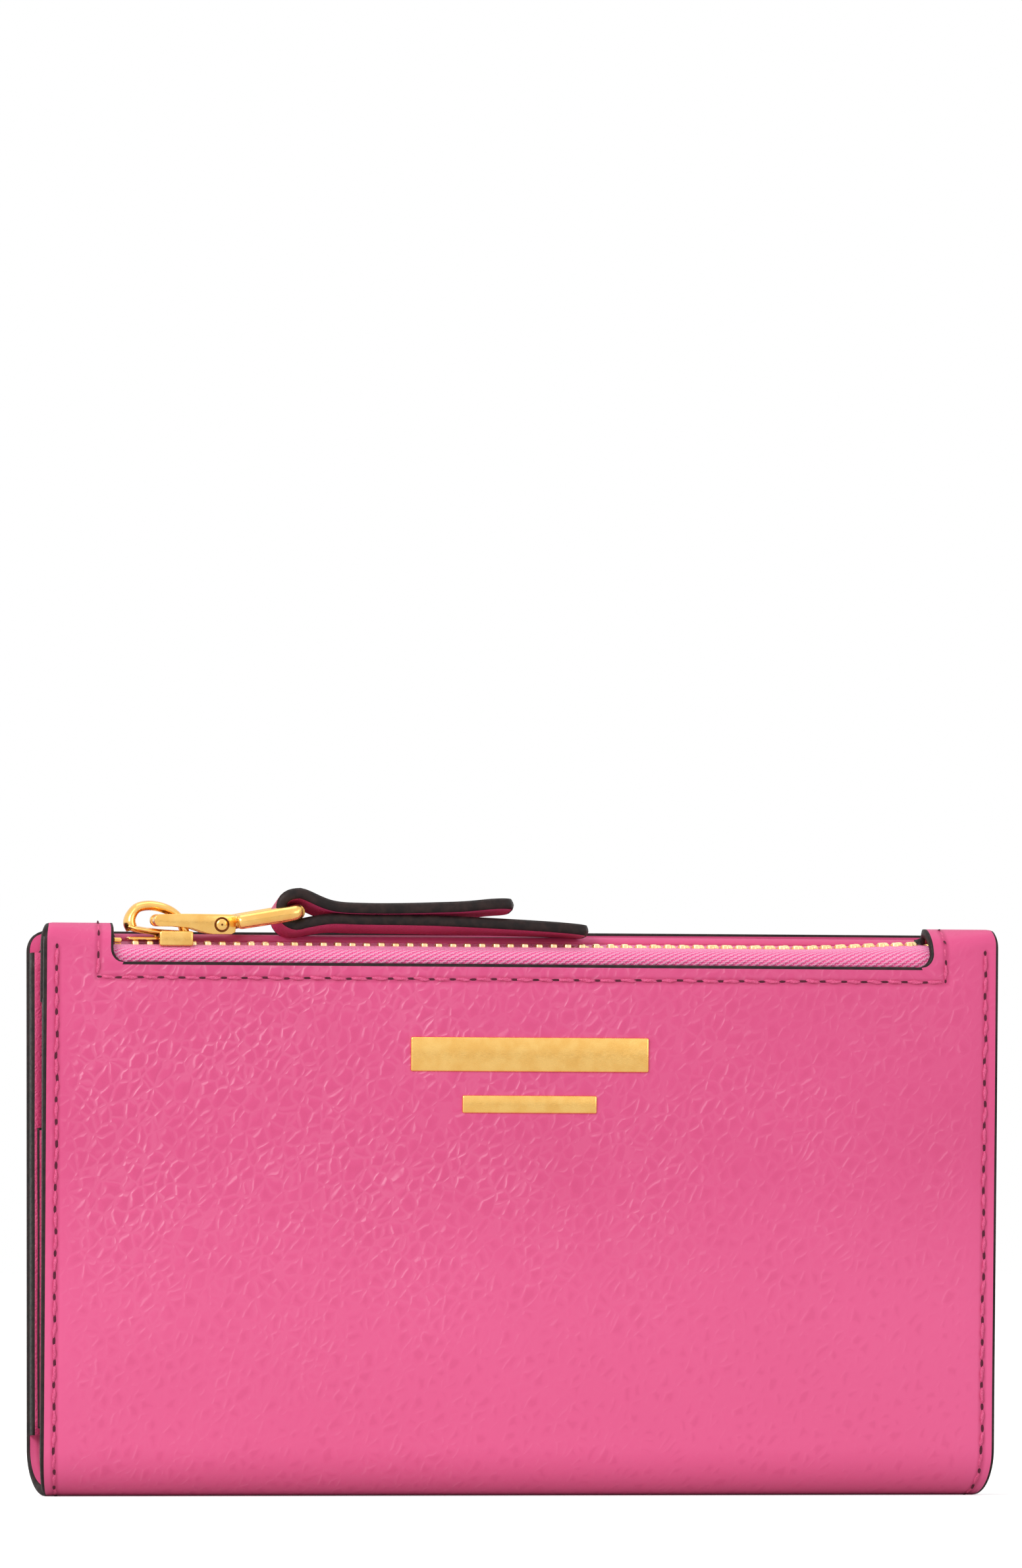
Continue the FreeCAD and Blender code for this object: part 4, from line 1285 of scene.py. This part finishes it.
def strap_path():
    """Centre line of the doubled strap from its upper end round the ring bar to its lower end."""
    centre_x, _, centre_v = ring_place(RING_REACH, 0, 0)
    reach = 3.45 - STRAP_PLY / 2
    loop = []
    for degrees in (62, 90, 125, 160, 200, 235, 270, 298):
        a = math.radians(degrees)
        flatter = 1 - 0.15 * max(math.sin(a), 0)
        loop.append((centre_x + reach * math.cos(a), centre_v + reach * flatter * math.sin(a)))
    upper = [(-1.7, 92.55), (-5.0, 92.4), (-10.0, 91.85), (-17.0, 91.5), (-25.0, 91.4),
             (-30.5, 91.75)]
    lower = [(-30.8, 89.75), (-26.0, 89.7), (-18.0, 89.65), (-9.0, 89.5), (1.0, 89.2),
             (6.5, 88.95), (10.3, 88.65)]
    return spline(upper + loop + lower, 220)


def pull_strap():
    """The doubled strip, with rounded ends, rolled a little toward the viewer."""
    curve = strap_path()
    distance = np.concatenate([[0], np.cumsum(np.linalg.norm(np.diff(curve, axis=0), axis=1))])
    length = float(distance[-1])
    corner, step, half = 1.7, 0.3, STRAP_WIDTH / 2

    def on_path(s):
        return np.array([np.interp(s, distance, curve[:, k]) for k in (0, 1)])

    def place(w, s):
        x, v = on_path(s)
        dx, dv = on_path(s + step) - on_path(s - step)
        size = np.sqrt(dx ** 2 + dv ** 2) + 1e-9
        into = np.clip(corner - np.minimum(s, length - s), 0, corner)
        w = w * (half - corner_inset(into, corner)) / half
        roll = np.radians(13.5 - 8.0 * np.clip((x + 14) / 24, 0, 1))
        x = x + dv / size * STRAP_PLY / 2
        v = v - dx / size * STRAP_PLY / 2 - w * np.sin(roll) - 0.05
        return half_point(-1, x, CHAIN_DEPTH - 0.1 + w * np.cos(roll), v)

    columns = mirrored(spaced(0, 2.6, 0.65) + [2.95, half])
    rows = merge_sorted([0], spaced(0.25, 2.4, 0.3), spaced(2.4, length - 2.4, 0.55),
                        spaced(length - 2.4, length - 0.25, 0.3), [length])
    piece = sheet("leather_pull_strap", columns, rows, place, STRAP_PLY, [STRAP_MAT, PAINT_MAT],
                  bulge=0.28)
    assign(piece, "strap", ["pull_strap"])


def emblem():
    """Blank gilt bars on the face, with rounded ends and a soft dome."""
    for node_name in ("emblem_bar_upper", "emblem_bar_lower"):
        low, high = (np.array(corner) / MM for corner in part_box(node_name))
        block = rounded_block((low[0], -0.55, low[2]), (high[0], 0.1, high[2]), 0.3, 4)
        metal_piece(node_name + "_plate", [block], "front_half", [node_name])


front_leather()
back_leather()
side_stitches()
window_stitches()
back_leaves()
front_leaves()
pocket_seams()
fold_linings()
coin_pouch()
side_stacks()
zipper_tape("near_tape", NEAR_TAPE, "zipper_tape_front", 1)
zipper_tape("far_tape", FAR_TAPE, "zipper_tape_rear", -1)
zipper_teeth()
zipper_stops()
slider()
puller_link()
link_rivet()
pull_ring()
pull_strap()
emblem()


# ---------------------------------------------------------------- floor, light and camera

def floor():
    """A wide pale floor, lifted to near white where the camera sees it."""
    size = 6.0
    mesh = bpy.data.meshes.new("floor")
    mesh.from_pydata([(-size, -size, 0), (size, -size, 0), (size, size, 0), (-size, size, 0)],
                     [], [(0, 1, 2, 3)])
    m = Material("pale_floor", 0.9)
    seen = m.add("LightPath").outputs["Is Camera Ray"]
    pale = m.mix(m.noise(m.object_place(), 3.0), grey(0.93), grey(0.95))
    m.give(Base_Color=m.mix(seen, grey(0.72), pale), Emission_Color=grey(1),
           Emission_Strength=m.times(seen, 0.36))
    mesh.materials.append(m.made)
    plane = bpy.data.objects.new("floor", mesh)
    bpy.context.scene.collection.objects.link(plane)


def studio_world():
    """Soft white surroundings, brighter to the eye and in reflections than as a light."""
    world = bpy.data.worlds.new("studio")
    bpy.context.scene.world = world
    world.use_nodes = True
    w = Nodes(world.node_tree)
    lighting = world.node_tree.nodes["Background"]
    w.feed(lighting.inputs["Color"], grey(1))
    w.feed(lighting.inputs["Strength"], 0.66)
    seen = w.add("Background", Color=grey(1), Strength=1.0)
    rays = w.add("LightPath").outputs
    sharp = w.maths("MAXIMUM", rays["Is Camera Ray"], rays["Is Glossy Ray"])
    choose = w.add("MixShader")
    for k, source in enumerate((sharp, lighting.outputs[0], seen.outputs[0])):
        w.feed(choose.inputs[k], source)
    w.feed(world.node_tree.nodes["World Output"].inputs[0], choose.outputs[0])


def softbox(name, place, size, power):
    light = bpy.data.lights.new(name, "AREA")
    light.shape = "RECTANGLE"
    light.size = size
    light.size_y = size * 0.7
    light.energy = power
    lamp = bpy.data.objects.new(name, light)
    lamp.location = place
    aim = Vector((0, 0, 0.045)) - Vector(place)
    lamp.rotation_euler = aim.to_track_quat("-Z", "Y").to_euler()
    bpy.context.scene.collection.objects.link(lamp)


def camera():
    """Nearly level telephoto view from a little left of straight ahead."""
    azimuth, distance, eye_height = math.radians(-11.0), 1.8, 0.045
    frame_width = 0.1608
    data = bpy.data.cameras.new("camera")
    data.sensor_fit = "HORIZONTAL"
    data.sensor_width = 36.0
    data.lens = data.sensor_width * distance / frame_width
    data.shift_x = -0.002
    data.shift_y = 0.4158
    data.clip_start, data.clip_end = 0.1, 20.0
    eye = bpy.data.objects.new("camera", data)
    eye.location = (math.sin(azimuth) * distance, -math.cos(azimuth) * distance, eye_height)
    eye.rotation_euler = (math.pi / 2, math.radians(-0.18), azimuth)
    bpy.context.scene.collection.objects.link(eye)
    bpy.context.scene.camera = eye
    bpy.context.scene.view_settings.view_transform = "Standard"


floor()
studio_world()
softbox("key", (-0.75, -0.75, 0.6), 0.6, 7.4)
softbox("fill", (0.9, -0.8, 0.35), 0.8, 2.0)
softbox("top", (0.0, 0.1, 1.1), 0.9, 2.2)
camera()
